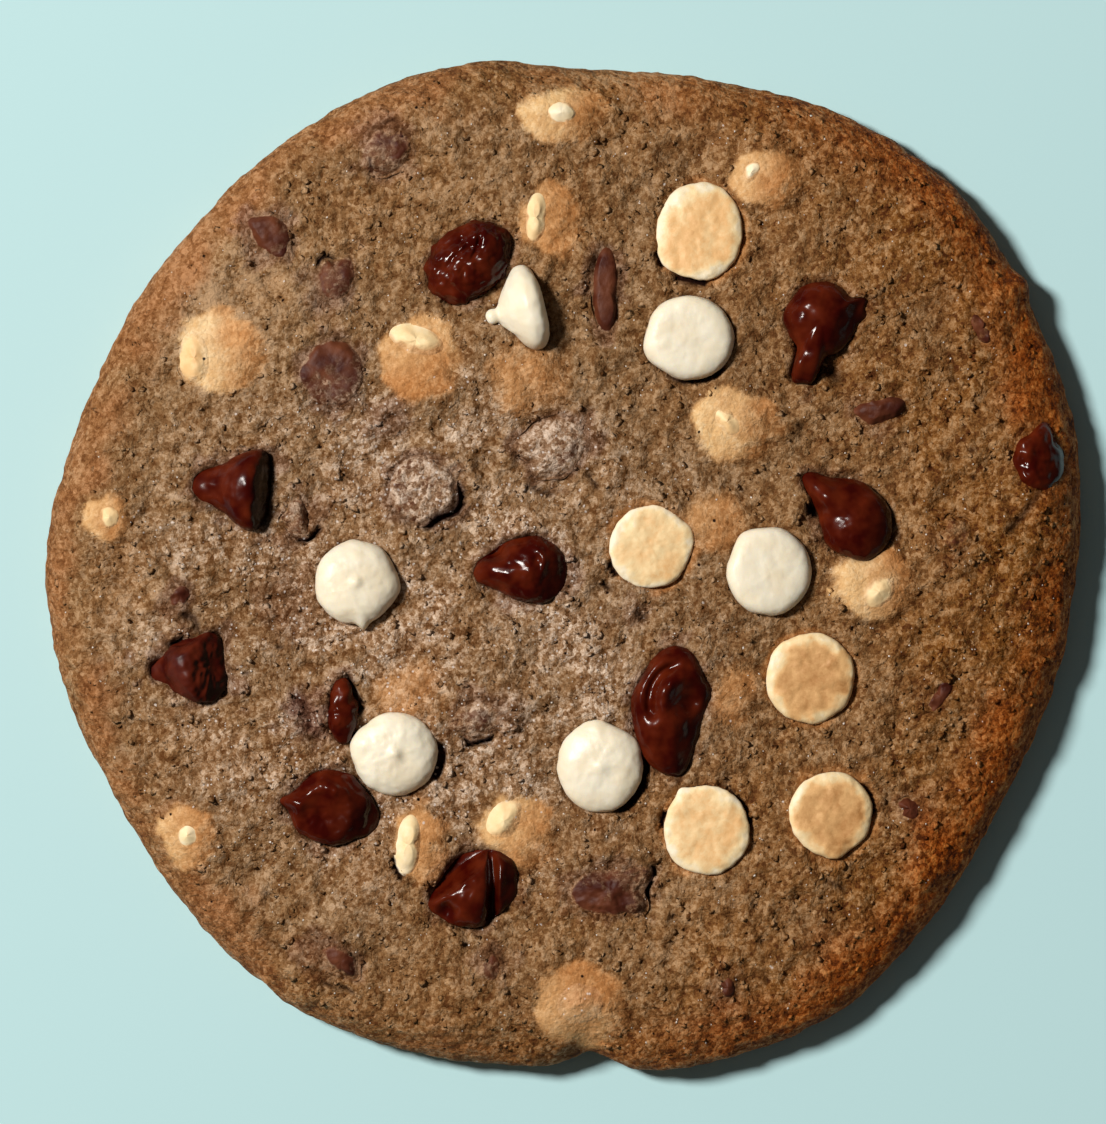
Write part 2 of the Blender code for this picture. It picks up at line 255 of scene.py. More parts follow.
def turned_faces(rows: int, columns: int) -> list[Array]:
    """Faces of a closed surface of rings with a pole at each end.

    Vertex 0 is the upper pole, the last one is the lower pole, and the rings between run downwards, each
    counter-clockwise seen from above.

    Args:
        rows: How many rings there are.
        columns: How many vertices a ring has.

    Returns:
        The quads between the rings, and the triangles at the upper and at the lower pole.
    """
    column = np.arange(columns)
    following = (column + 1) % columns
    ring = 1 + columns * np.arange(rows - 1)[:, None]
    quads = np.stack(
        (ring + column, ring + columns + column, ring + columns + following, ring + following), axis=-1
    ).reshape(-1, 4)
    last = 1 + columns * (rows - 1)
    top = np.stack((np.zeros(columns, int), 1 + column, 1 + following), axis=-1)
    bottom = np.stack((np.full(columns, last + columns), last + following, last + column), axis=-1)
    return [quads, top, bottom]


def linear_colour(code: str) -> tuple[float, float, float, float]:
    """An sRGB hex code in linear light.

    Args:
        code: The colour, such as "#FCF2DC".

    Returns:
        Red, green and blue from 0 to 1, and full alpha.
    """
    parts = [int(code[k : k + 2], 16) / 255.0 for k in (1, 3, 5)]
    linear = [part / 12.92 if part <= 0.04045 else ((part + 0.055) / 1.055) ** 2.4 for part in parts]
    return (linear[0], linear[1], linear[2], 1.0)


def add_node(
    tree: Tree, kind: str, inputs: Mapping[int | str, Any], output: int | str = 0, **settings: Any
) -> Socket | None:
    """Add a shader node with its settings and links.

    Args:
        tree: The material's node tree.
        kind: The node's type, without the prefix ShaderNode.
        inputs: What each input gets, by its name or number: a socket to link, an sRGB hex code, or a value.
        output: Name or number of the output that is returned.
        settings: Properties of the node.

    Returns:
        The chosen output socket, or None where the node has no outputs.
    """
    node = tree.nodes.new(f"ShaderNode{kind}")
    for name, value in settings.items():
        setattr(node, name, value)
    for name, value in inputs.items():
        if isinstance(value, Socket):
            tree.links.new(value, node.inputs[name])
        elif isinstance(value, str):
            node.inputs[name].default_value = linear_colour(value)
        else:
            node.inputs[name].default_value = value
    return node.outputs[output] if len(node.outputs) else None


def pattern(place: Socket, size: float, **more: float) -> dict[str, Any]:
    """The inputs of a pattern read at place, with its spots size millimetres apart."""
    return {"Vector": place, "Scale": 1.0 / (size * MM)} | more


class Seed(IntEnum):
    """Seeds of the random draws. Each layer of layered noise takes the next number."""

    LUMPS = 7
    PITS = 19
    FLAKES = 31
    SUGAR_GRAINS = 32
    CRUMB = 71
    WANDER = 101
    DRIFT = 131
    SUGAR = 151
    LIPS = 401
    WHITE_CHIPS = 500
    BAKED_CHIPS = 600
    DARK_CHIPS = 700
    SUNKEN_CHIPS = 800


class Mask(Enum):
    """The masks that the meshes carry, one number from 0 to 1 for each vertex."""

    CRUST = "crust"
    BROWN = "brown"
    ROAST = "roast"
    GOLD = "gold"
    CREAM = "cream"
    PALE = "pale"
    DULL = "dull"
    STAIN = "stain"
    SUGAR = "sugar"
    SHADE = "shade"
    TOAST = "toast"
    FILM = "film"
    # painted shade: darker chocolate on the chips' sides away from the key light
    PAINTED_SHADE = "painted_shade"


class Finish(ABC):
    """A real material. A subclass holds its colours and sizes, and says what its one shader gets."""

    name: str

    @abstractmethod
    def shader(self, tree: Tree) -> dict[str, Any]:
        """What each input of the shader gets, with the nodes that lead to it added to the tree."""

    def material(self) -> bpy.types.Material:
        """Build the material.

        Returns:
            A new material with this finish's name, whose nodes end in its one shader.
        """
        material = bpy.data.materials.new(self.name)
        material.use_nodes = True
        tree = material.node_tree
        tree.nodes.clear()
        shader = add_node(tree, "BsdfPrincipled", self.shader(tree))
        add_node(tree, "OutputMaterial", {"Surface": shader})
        return material


@dataclass(frozen=True)
class Shades:
    """The sRGB colours of a grainy surface: in its hollows, between, and on its flakes."""

    dark: str
    middle: str
    pale: str

    def codes(self) -> tuple[str, str, str]:
        """The three colours, dark to pale."""
        return (self.dark, self.middle, self.pale)


@dataclass(frozen=True)
class Crumb:
    """The grain of baked dough: flakes and grains of every size, with brown hollows between them.

    The dough and the films of dough on the chips share it, and it runs on from one to the other. contrast
    and the shares say how much the noise, the flakes, the lumps and the dry patches add to its tone, and
    golden_tone is the tone under golden dough. crumb_rise and grain_drop say how much the noise and the
    flakes' middles change the height, and mean_rise is the height's average before it is taken off.
    """

    coarse_mm: float = 1.9
    lump_mm: float = 1.7
    flake_mm: float = 0.45
    contrast: float = 3.7
    flake_share: float = 0.8
    lump_share: float = 0.6
    pale_share: float = 0.5
    golden_tone: float = 0.6
    crumb_rise: float = 0.35
    grain_drop: float = 0.1
    mean_rise: float = 0.63
    bend_mm: float = 0.8
    stray_mm: float = 0.3
    glint_mm: float = 0.62
    pore_mm: float = 1.7

    def moved_place(self, tree: Tree) -> Socket:
        """Bend the places that patterns are read at by noise, so that none looks regular.

        Args:
            tree: The material's node tree.

        Returns:
            The socket of each point's bent place in its piece.
        """
        place = add_node(tree, "TexCoord", {}, "Object")
        bend = add_node(tree, "TexNoise", pattern(place, self.bend_mm, Detail=2.0), "Color")
        shift = {0: bend, 1: (self.stray_mm * MM,) * 3, 2: place}
        return add_node(tree, "VectorMath", shift, operation="MULTIPLY_ADD")

    def tone_and_height(self, tree: Tree) -> tuple[Socket, Socket]:
        """How pale and how high the surface is.

        The tone is noise whose octaves from coarse_mm down are about equally strong, so that there is as
        much to see from close by as from far away. Flakes of one tone each, softer lumps, which also make
        the height, and the PALE mask of dry patches and loose grains are added to it. Both are calmer by
        the GOLD mask. As the noise and the lumps raise the height and the tone alike, the hollows are
        darker, partly the crumb's own brown and partly painted shade.

        Args:
            tree: The material's node tree.

        Returns:
            The tone's socket, 0.5 on average, and the height's socket, 0 on average.
        """
        place = self.moved_place(tree)
        crumb = add_node(tree, "TexNoise", pattern(place, self.coarse_mm, Detail=6.0, Roughness=0.95))
        lumps = add_node(tree, "TexNoise", pattern(place, self.lump_mm, Detail=3.0, Roughness=0.6))
        pale = add_node(tree, "Attribute", {}, "Fac", attribute_name=Mask.PALE.value)
        flakes = add_node(tree, "TexVoronoi", pattern(place, self.flake_mm), "Color")
        grains = flakes.node.outputs["Distance"]
        flakes = add_node(tree, "Math", {0: flakes, 1: self.flake_share}, operation="MULTIPLY")
        spread = self.contrast + self.flake_share + self.lump_share + 0.5 * self.pale_share
        offset = 0.5 - 0.5 * spread
        tone = add_node(tree, "Math", {0: crumb, 1: self.contrast, 2: offset}, operation="MULTIPLY_ADD")
        tone = add_node(tree, "Math", {0: tone, 1: flakes}, operation="ADD")
        tone = add_node(tree, "Math", {0: lumps, 1: self.lump_share, 2: tone}, operation="MULTIPLY_ADD")
        tone = add_node(tree, "Math", {0: pale, 1: self.pale_share, 2: tone}, operation="MULTIPLY_ADD")
        gold = add_node(tree, "Attribute", {}, "Fac", attribute_name=Mask.GOLD.value)
        calm = add_node(tree, "MapRange", {"Value": gold, "From Min": 0.2, "To Max": 0.5})
        tone = add_node(tree, "Mix", {0: calm, 2: tone, 3: self.golden_tone})
        # the same noise and lumps raise the tone, so the hollows are darker: partly painted shade
        height = add_node(tree, "Math", {0: crumb, 1: self.crumb_rise, 2: lumps}, operation="MULTIPLY_ADD")
        height = {0: grains, 1: -self.grain_drop, 2: height}
        height = add_node(tree, "Math", height, operation="MULTIPLY_ADD")
        height = add_node(tree, "Math", {0: height, 1: self.mean_rise}, operation="SUBTRACT")
        height = add_node(tree, "Mix", {0: calm, 2: height, 3: 0.0})
        return tone, height

    def spots(self, tree: Tree, apart_mm: float, share: float | Socket, radius: float) -> Socket:
        """Scattered round spots with soft edges.

        Args:
            tree: The material's node tree.
            apart_mm: About how far apart they may lie.
            share: The share of places that hold a spot, a value or a socket.
            radius: A spot's radius, as a share of apart_mm.

        Returns:
            The socket of a number that is 1 in a spot and 0 elsewhere.
        """
        far = add_node(tree, "TexVoronoi", pattern(self.moved_place(tree), apart_mm), "Distance")
        used = add_node(tree, "Math", {0: far.node.outputs["Color"], 1: share}, operation="LESS_THAN")
        edge = {"Value": far, "From Min": radius, "From Max": 0.6 * radius}
        return add_node(tree, "Math", {0: add_node(tree, "MapRange", edge), 1: used}, operation="MULTIPLY")

    def coloured(self, tree: Tree, tone: Socket, shades: tuple[str | Socket, ...]) -> Socket:
        """Colour the grain: dark below, through the middle colour, to pale on top.

        Args:
            tree: The material's node tree.
            tone: The tone's socket.
            shades: The three colours, each a socket or an sRGB hex code.

        Returns:
            The colour's socket.
        """
        low = add_node(tree, "MapRange", {"Value": tone, "From Min": 0.0, "From Max": 0.5})
        high = add_node(tree, "MapRange", {"Value": tone, "From Min": 0.5, "From Max": 1.05})
        colour = add_node(tree, "Mix", {0: low, 6: shades[0], 7: shades[1]}, 2, data_type="RGBA")
        return add_node(tree, "Mix", {0: high, 6: colour, 7: shades[2]}, 2, data_type="RGBA")


@dataclass(frozen=True)
class BakedDough(Finish):
    """Baked cookie dough: flour, butter and brown sugar, dried and browned in the oven.

    The eye sees a grey-brown sandy crumb with pale glints of sugar and dark pores. It is smoother and tan
    at the rim, browner towards the hotter side and roasted red-brown at its rim, golden over white chips
    and purple-brown by dark ones. Painted shade darkens its pores, pits, cracks, moats and gaps and the
    sides of its mounds away from the key light.
    """

    name: str = "oven_baked_cookie_dough"
    crumb: Crumb = Crumb()
    plain: Shades = Shades("#6A4422", "#94704A", "#BE9C78")
    zones: tuple[tuple[Mask, Shades], ...] = (
        (Mask.SUGAR, Shades("#66401E", "#AA8562", "#F6DEC6")),
        (Mask.CRUST, Shades("#704220", "#9A663C", "#C28C60")),
        (Mask.STAIN, Shades("#30140E", "#6C483D", "#AE8F80")),
        (Mask.BROWN, Shades("#50240A", "#8A5822", "#C09466")),
        (Mask.ROAST, Shades("#4A1A00", "#9A480A", "#CC7E36")),
        (Mask.GOLD, Shades("#8E5626", "#BC7F49", "#E8AF76")),
        (Mask.CREAM, Shades("#D8A468", "#F0C68C", "#FBE2B4")),
        # painted shade in pits, cracks, moats, gaps and pin holes
        (Mask.SHADE, Shades("#0C0200", "#1C0904", "#38190E")),
    )
    # pale specks: the sugar crystals' own white, and partly painted glints
    glint: str = "#F4EAE2"
    glint_share: float = 0.05
    sugary_glints: float = 0.35
    glint_cover: float = 0.6
    glint_radius: float = 0.3
    # painted shade: the near-black of small holes in the crumb
    painted_pore_shade: str = "#1E0B04"
    pore_share: float = 0.2
    pore_radius: float = 0.13
    specular: float = 0.1
    ior: float = 1.45
    relief_mm: float = 0.9

    def colour(self, tree: Tree, tone: Socket) -> Socket:
        """The dough's colour, which mixes the zones' shades by the masks of the same name.

        Pores are small holes painted near-black as shade, and sugar glints are pale specks, the sugar's own
        white and partly painted glints, which lie closer together in sugary patches.

        Args:
            tree: The material's node tree.
            tone: The tone's socket.

        Returns:
            The colour's socket.
        """
        shades: tuple[str | Socket, ...] = self.plain.codes()
        sugar = add_node(tree, "Attribute", {}, "Fac", attribute_name=Mask.SUGAR.value)
        for zone, colours in self.zones:
            share = add_node(tree, "Attribute", {}, "Fac", attribute_name=zone.value)
            pairs = zip(shades, colours.codes(), strict=True)
            shades = tuple(
                add_node(tree, "Mix", {0: share, 6: old, 7: new}, 2, data_type="RGBA") for old, new in pairs
            )
        colour = self.crumb.coloured(tree, tone, shades)
        pores = self.crumb.spots(tree, self.crumb.pore_mm, self.pore_share, self.pore_radius)
        colour = add_node(tree, "Mix", {0: pores, 6: colour, 7: self.painted_pore_shade}, 2, data_type="RGBA")
        share = {0: sugar, 1: self.sugary_glints, 2: self.glint_share}
        share = add_node(tree, "Math", share, operation="MULTIPLY_ADD")
        glints = self.crumb.spots(tree, self.crumb.glint_mm, share, self.glint_radius)
        glints = add_node(tree, "Math", {0: glints, 1: self.glint_cover}, operation="MULTIPLY")
        return add_node(tree, "Mix", {0: glints, 6: colour, 7: self.glint}, 2, data_type="RGBA")

    def filmed(
        self, tree: Tree, tone: Socket, height: Socket, bare: Socket, grit: float
    ) -> tuple[Socket, Socket, Socket]:
        """Lay a film of dough over a chip: where FILM is high, and first where the crumb is pale.

        Args:
            tree: The material's node tree.
            tone: The tone's socket.
            height: The height's socket.
            bare: The socket of the bare chip's colour.
            grit: The share of the crumb's relief that the bare chip has.

        Returns:
            The sockets of the colour, of the bumped normal, and of how far the film hides the chip.
        """
        film = add_node(tree, "Attribute", {}, "Fac", attribute_name=Mask.FILM.value)
        thick = add_node(tree, "Math", {0: tone, 1: 1.6, 2: 1.2}, operation="MULTIPLY_ADD")
        thick = add_node(tree, "Math", {0: film, 1: thick}, operation="MULTIPLY")
        cover = add_node(tree, "MapRange", {"Value": thick, "From Min": 0.35, "From Max": 1.35})
        colour = {0: cover, 6: bare, 7: self.colour(tree, tone)}
        colour = add_node(tree, "Mix", colour, 2, data_type="RGBA")
        depth = add_node(tree, "MapRange", {"Value": cover, "To Min": grit, "To Max": 1.0})
        relief = add_node(tree, "Math", {0: height, 1: depth}, operation="MULTIPLY")
        bump = add_node(tree, "Bump", {"Height": relief, "Distance": self.relief_mm * MM})
        return colour, bump, cover

    def shader(self, tree: Tree) -> dict[str, Any]:
        """Lead in the colour, the relief and a sheen that grows with the tone.

        Args:
            tree: The material's node tree.

        Returns:
            What each input of the shader gets.
        """
        tone, height = self.crumb.tone_and_height(tree)
        colour = self.colour(tree, tone)
        sheen = {"Value": tone, "From Min": 0.4, "From Max": 1.0, "To Min": 0.75, "To Max": 0.45}
        rough = add_node(tree, "MapRange", sheen)
        bump = add_node(tree, "Bump", {"Height": height, "Distance": self.relief_mm * MM})
        return {
            "Base Color": colour,
            "Roughness": rough,
            "Normal": bump,
            "IOR": self.ior,
            "Specular IOR Level": self.specular,
        }


@dataclass(frozen=True)
class Sugar(Finish):
    """Granulated sugar that didn't melt: clear crystals, which from a step away are white glints."""

    name: str = "granulated_sugar"
    colour: str = "#F4EBE2"
    dusty: str = "#C9B39C"
    dust_mm: float = 0.5
    scatter: float = 0.4
    scatter_mm: float = 0.3
    roughness: float = 0.18
    ior: float = 1.54

    def shader(self, tree: Tree) -> dict[str, Any]:
        """Lead in a colour that varies a little from place to place, like dusty sugar.

        Args:
            tree: The material's node tree.

        Returns:
            What each input of the shader gets.
        """
        place = add_node(tree, "TexCoord", {}, "Object")
        dust = add_node(tree, "TexNoise", pattern(place, self.dust_mm, Detail=1.0))
        colour = add_node(tree, "Mix", {0: dust, 6: self.dusty, 7: self.colour}, 2, data_type="RGBA")
        return {
            "Base Color": colour,
            "Roughness": self.roughness,
            "IOR": self.ior,
            "Subsurface Weight": self.scatter,
            "Subsurface Radius": (1.0, 0.9, 0.8),
            "Subsurface Scale": self.scatter_mm * MM,
        }


@dataclass(frozen=True)
class WhiteChocolate(Finish):
    """White chocolate, moulded as drops and set: cocoa butter, milk and sugar with a satin skin.

    The eye sees warm ivory, slightly translucent, with a soft sheen and faint clouds.
    """

    name: str = "set_white_chocolate"
    clear: str = "#FCF2DC"
    cloudy: str = "#F3E6C9"
    cloud_mm: float = 3.0
    skin_mm: float = 0.5
    skin_relief_mm: float = 0.03
    scatter: float = 0.3
    scatter_mm: float = 0.6
    roughness: float = 0.42
    sheen_spread: float = 0.2
    ior: float = 1.46

    def shader(self, tree: Tree) -> dict[str, Any]:
        """Lead in clouds in the colour and the sheen, and a faintly uneven skin.

        Args:
            tree: The material's node tree.

        Returns:
            What each input of the shader gets.
        """
        place = add_node(tree, "TexCoord", {}, "Object")
        cloud = add_node(tree, "TexNoise", pattern(place, self.cloud_mm, Detail=2.0))
        skin = add_node(tree, "TexNoise", pattern(place, self.skin_mm, Detail=2.0))
        share = add_node(tree, "MapRange", {"Value": cloud, "From Min": 0.35, "From Max": 0.7})
        colour = add_node(tree, "Mix", {0: share, 6: self.clear, 7: self.cloudy}, 2, data_type="RGBA")
        sheen = {0: cloud, 1: self.sheen_spread, 2: self.roughness - 0.5 * self.sheen_spread}
        rough = add_node(tree, "Math", sheen, operation="MULTIPLY_ADD")
        bump = add_node(tree, "Bump", {"Height": skin, "Distance": self.skin_relief_mm * MM})
        return {
            "Base Color": colour,
            "Roughness": rough,
            "Normal": bump,
            "IOR": self.ior,
            "Subsurface Weight": self.scatter,
            "Subsurface Radius": (1.0, 0.85, 0.6),
            "Subsurface Scale": self.scatter_mm * MM,
        }


@dataclass(frozen=True)
class ToastedWhiteChocolate(Finish):
    """White chocolate browned by the oven: its milk sugar has caramelised and its skin is dry.

    The eye sees tan with fine darker grain in the middle and butter yellow towards the edge. TOAST says
    how brown it is, and FILM how much golden dough lies on it.
    """

    name: str = "toasted_white_chocolate"
    dough: BakedDough = BakedDough()
    pale: str = "#FDF2D6"
    butter: str = "#FBDFAA"
    tan: str = "#EEBC7E"
    brown: str = "#B47A40"
    blotch_mm: float = 2.2
    blotch_share: float = 0.6
    grain_share: float = 0.16
    grit: float = 0.1
    roughness: float = 0.55
    ior: float = 1.46

    def shader(self, tree: Tree) -> dict[str, Any]:
        """Lead in the browned colour, under the film of dough where there is one.

        Args:
            tree: The material's node tree.

        Returns:
            What each input of the shader gets.
        """
        tone, height = self.dough.crumb.tone_and_height(tree)
        place = add_node(tree, "TexCoord", {}, "Object")
        blotch = add_node(tree, "TexNoise", pattern(place, self.blotch_mm, Detail=3.0))
        toast = add_node(tree, "Attribute", {}, "Fac", attribute_name=Mask.TOAST.value)
        toast = add_node(tree, "Math", {0: blotch, 1: self.blotch_share, 2: toast}, operation="MULTIPLY_ADD")
        toast = add_node(tree, "Math", {0: tone, 1: -self.grain_share, 2: toast}, operation="MULTIPLY_ADD")
        average = 0.5 * (self.blotch_share - self.grain_share)
        toast = add_node(tree, "Math", {0: toast, 1: average}, operation="SUBTRACT")
        colour: str | Socket = self.pale
        for start, end, code in ((0.05, 0.35, self.butter), (0.35, 0.7, self.tan), (0.75, 1.2, self.brown)):
            share = add_node(tree, "MapRange", {"Value": toast, "From Min": start, "From Max": end})
            colour = add_node(tree, "Mix", {0: share, 6: colour, 7: code}, 2, data_type="RGBA")
        colour, bump, _ = self.dough.filmed(tree, tone, height, colour, self.grit)
        return {"Base Color": colour, "Roughness": self.roughness, "Normal": bump, "IOR": self.ior}


@dataclass(frozen=True)
class DarkChocolate(Finish):
    """Dark chocolate that melted in the oven and set again.

    Bare, it is deep red-brown, with tight highlights where it set smooth. On its side away from the key
    light its colour turns towards a near-black: painted shade. DULL says how much its shine is lost, and
    FILM how much of it a dry film of dough and sugar covers.
    """

    name: str = "melted_dark_chocolate"
    dough: BakedDough = BakedDough()
    deep: str = "#380602"
    lit: str = "#5C1E0A"
    # painted shade: the near-black that bare chocolate turns to on its side away from the key light
    shaded: str = "#150100"
    streak_mm: float = 2.4
    roughness: float = 0.16
    streak_roughness: float = 0.1
    dull_roughness: float = 0.4
    film_roughness: float = 0.75
    specular: float = 0.2
    grit: float = 0.03
    ior: float = 1.5

    def shader(self, tree: Tree) -> dict[str, Any]:
        """Lead in streaked chocolate, with painted shade on its side away from the key light, under the film
        of dough.

        Args:
            tree: The material's node tree.

        Returns:
            What each input of the shader gets.
        """
        tone, height = self.dough.crumb.tone_and_height(tree)
        place = add_node(tree, "TexCoord", {}, "Object")
        streak = add_node(tree, "TexNoise", pattern(place, self.streak_mm, Detail=2.0))
        share = add_node(tree, "MapRange", {"Value": streak, "From Min": 0.35, "From Max": 0.68})
        chocolate = add_node(tree, "Mix", {0: share, 6: self.deep, 7: self.lit}, 2, data_type="RGBA")
        # painted shade: the chocolate is mixed towards a near-black away from the key light
        painted_shade = add_node(tree, "Attribute", {}, "Fac", attribute_name=Mask.PAINTED_SHADE.value)
        chocolate = add_node(tree, "Mix", {0: painted_shade, 6: chocolate, 7: self.shaded}, 2, data_type="RGBA")
        colour, bump, cover = self.dough.filmed(tree, tone, height, chocolate, self.grit)
        waxy = {"Value": streak, "From Min": 0.45, "From Max": 0.7}
        waxy |= {"To Min": self.roughness, "To Max": self.roughness + self.streak_roughness}
        rough = add_node(tree, "MapRange", waxy)
        dull = add_node(tree, "Attribute", {}, "Fac", attribute_name=Mask.DULL.value)
        rough = add_node(tree, "Math", {0: dull, 1: self.dull_roughness, 2: rough}, operation="MULTIPLY_ADD")
        rough = add_node(tree, "Mix", {0: cover, 2: rough, 3: self.film_roughness})
        return {
            "Base Color": colour,
            "Roughness": rough,
            "Normal": bump,
            "IOR": self.ior,
            "Specular IOR Level": self.specular,
        }


@dataclass(frozen=True)
class PaintedBoard(Finish):
    """A board painted in one pale, matt colour."""

    name: str = "painted_board"
    colour: str = "#C0E6EA"
    roughness: float = 0.85

    def shader(self, tree: Tree) -> dict[str, Any]:
        """What the shader gets."""
        return {"Base Color": self.colour, "Roughness": self.roughness}


class Form(Enum):
    """How a chip lies, or what baking made of it."""

    FLAT = "flat base up"
    DROP = "tip up"
    LYING = "on its side"
    LUMP = "melted lump"
    CAP = "only its top shows"


@dataclass(frozen=True)
class Dent:
    """A round hollow or, with a negative depth, a bump in a chip's top, placed from the chip's middle."""

    x: float
    y: float
    radius: float
    depth: float


@dataclass(frozen=True)
class Fold:
    """A groove or, with a negative depth, a ridge along an arc in a chip's top.

    x and y place the arc's centre from the chip's middle. It runs from start to end, in degrees.
    """

    x: float
    y: float
    radius: float
    start: float
    end: float
    width: float
    depth: float


@dataclass(frozen=True)
class Facet:
    """A flat side: what lies beyond a plane is pressed onto it.

    The plane faces heading and leans up by slope. It passes at distance from the chip's middle, at the
    height of the dough.
    """

    heading: float
    distance: float
    slope: float


@dataclass(frozen=True)
class Gap:
    """A gap by a chip, where the dough drew back, with painted shade, round heading by spread degrees each
    way.
    """

    heading: float
    spread: float
    width: float


@dataclass(frozen=True)
class Chip:
    """One chip. The fields down to tails are those of the chip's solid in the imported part.

    length and width are its long and short width, turn the heading of its long width or of its tip in
    degrees, proud and sunk its heights above and below the dough, and tails its drawn-out corners: heading,
    reach and half width in degrees. Of a chip on its side, tilt says how far its tip is tipped over, knob
    the radius and length of its tip as shares of the whole, and waist how slender the neck below the tip is.

    ragged is how uneven its outline is and wrinkle how high its wrinkles stand. toast says how brown it is,
    film how much dough lies on it, blend how far inwards the dough runs on over its edge, film_heading and
    film_reach from which side more dough covers it, and halo how far round it the dough is golden. dull
    says how matt a dark chip is.
    """

    x: float
    y: float
    length: float
    width: float
    turn: float = 0.0
    proud: float = 0.6
    sunk: float = 3.2
    form: Form = Form.LUMP
    tails: Rows = ()
    tilt: float = 112.0
    knob: tuple[float, float] = (0.18, 0.12)
    waist: float = 0.0
    ragged: float = 0.02
    wrinkle: float = 0.06
    wrinkle_size: float = 2.0
    marks: tuple[Dent | Fold | Facet, ...] = ()
    gaps: tuple[Gap, ...] = ()
    moat: float = 0.14
    toast: float = 0.5
    film: float = 0.0
    blend: float = 0.0
    film_heading: float | None = None
    film_reach: float = 0.5
    halo: float = 0.0
    dull: float = 0.0

    def radii(self) -> tuple[float, float]:
        """Half the long width and half the short width."""
        return self.length / 2.0, self.width / 2.0

    def stretch(self, angle: Array) -> Array:
        """How far the outline is drawn out, as a share, at each heading in radians.

        The tails are bell curves of the heading, and raggedness is a sum of five waves round the outline
        whose phases follow from the chip's place.

        Args:
            angle: Headings from the chip's middle, in radians.

        Returns:
            The share by which the plain ellipse is multiplied.
        """
        share = np.ones_like(angle)
        for heading, reach, width in self.tails:
            share += reach / (sum(self.radii()) / 2.0) * bell(degrees_between(angle, heading), width)
        for wave in range(3, 8):
            share += self.ragged / np.sqrt(wave) * np.sin(wave * angle + 7.0 * self.x + 3.0 * self.y * wave)
        return share

    def drop_radius(self, along: Array) -> Array:
        """The radius of a whole drop, as a share, from its tip at 0 to its base at 1.

        It is the fourth-power mean of a round knob at the tip and a body that swells quickly and then
        slowly, or with an eased start for the waist, and it closes over a flat base with a rounded edge.

        Args:
            along: Places along the axis, from 0 to 1.

        Returns:
            The radius at each place, 1 at the widest.
        """
        knob_radius, knob_length = self.knob
        start, edge = 0.5 * knob_length, 0.87 - 0.17 * self.waist
        knob = knob_radius * np.sqrt(np.maximum(1.0 - (along / knob_length - 1.0) ** 2, 0.0))
        share = np.clip((along - start) / (edge - start), 0.0, 1.0)
        body = (1.0 - self.waist) * (1.0 - (1.0 - share) ** 1.7) + self.waist * smooth_step(share, 0.0, 1.0)
        rounding = (1.0 - np.clip((along - edge) / (1.0 - edge), 0.0, 1.0) ** 3) ** (1.0 / 3.0)
        return (knob**4 + body**4) ** 0.25 * rounding

    def beyond(self, x: Array, y: Array) -> Array:
        """Distance outside the chip's outline, negative inside.

        It is measured along the line to the chip's middle, or across the axis of a chip on its side.

        Args:
            x: Places along X, in millimetres.
            y: Places along Y.

        Returns:
            One distance for each place, in millimetres.
        """
        long_half, short_half = self.radii()
        if self.form is Form.LYING:
            turn = np.radians(self.turn)
            along = (x - self.x) * np.cos(turn) + (y - self.y) * np.sin(turn)
            across = np.abs((y - self.y) * np.cos(turn) - (x - self.x) * np.sin(turn))
            radius = self.drop_radius(np.clip(0.5 - 0.5 * along / long_half, 0.0, 0.86))
            return np.maximum(0.8 * (across - short_half * radius), np.abs(along) - long_half)
        angle = np.arctan2(y - self.y, x - self.x)
        local = angle - np.radians(self.turn)
        ellipse = long_half * short_half / np.hypot(short_half * np.cos(local), long_half * np.sin(local))
        return np.hypot(x - self.x, y - self.y) - ellipse * self.stretch(angle)

    def gap_share(self, x: Array, y: Array) -> Array:
        """How much each place lies in one of the chip's gaps.

        Args:
            x: Places along X, in millimetres.
            y: Places along Y.

        Returns:
            A share from 0 to 1 for each place.
        """
        share = np.zeros_like(x)
        beyond = self.beyond(x, y)
        angle = np.arctan2(y - self.y, x - self.x)
        for gap in self.gaps:
            ends = smooth_step(np.abs(degrees_between(angle, gap.heading)), gap.spread, 0.6 * gap.spread)
            width = gap.width * np.maximum(ends, 0.05)
            across = smooth_step(beyond, -0.35, 0.0) * smooth_step(beyond, width + 0.2, width - 0.1)
            share = np.maximum(share, ends * across)
        return share

    def side(self, x: Array, y: Array, heading: float) -> Array:
        """How far each place lies towards heading, from -1 to 1 at the chip's edge."""
        turn = np.radians(heading)
        return ((x - self.x) * np.cos(turn) + (y - self.y) * np.sin(turn)) / (sum(self.radii()) / 2.0)


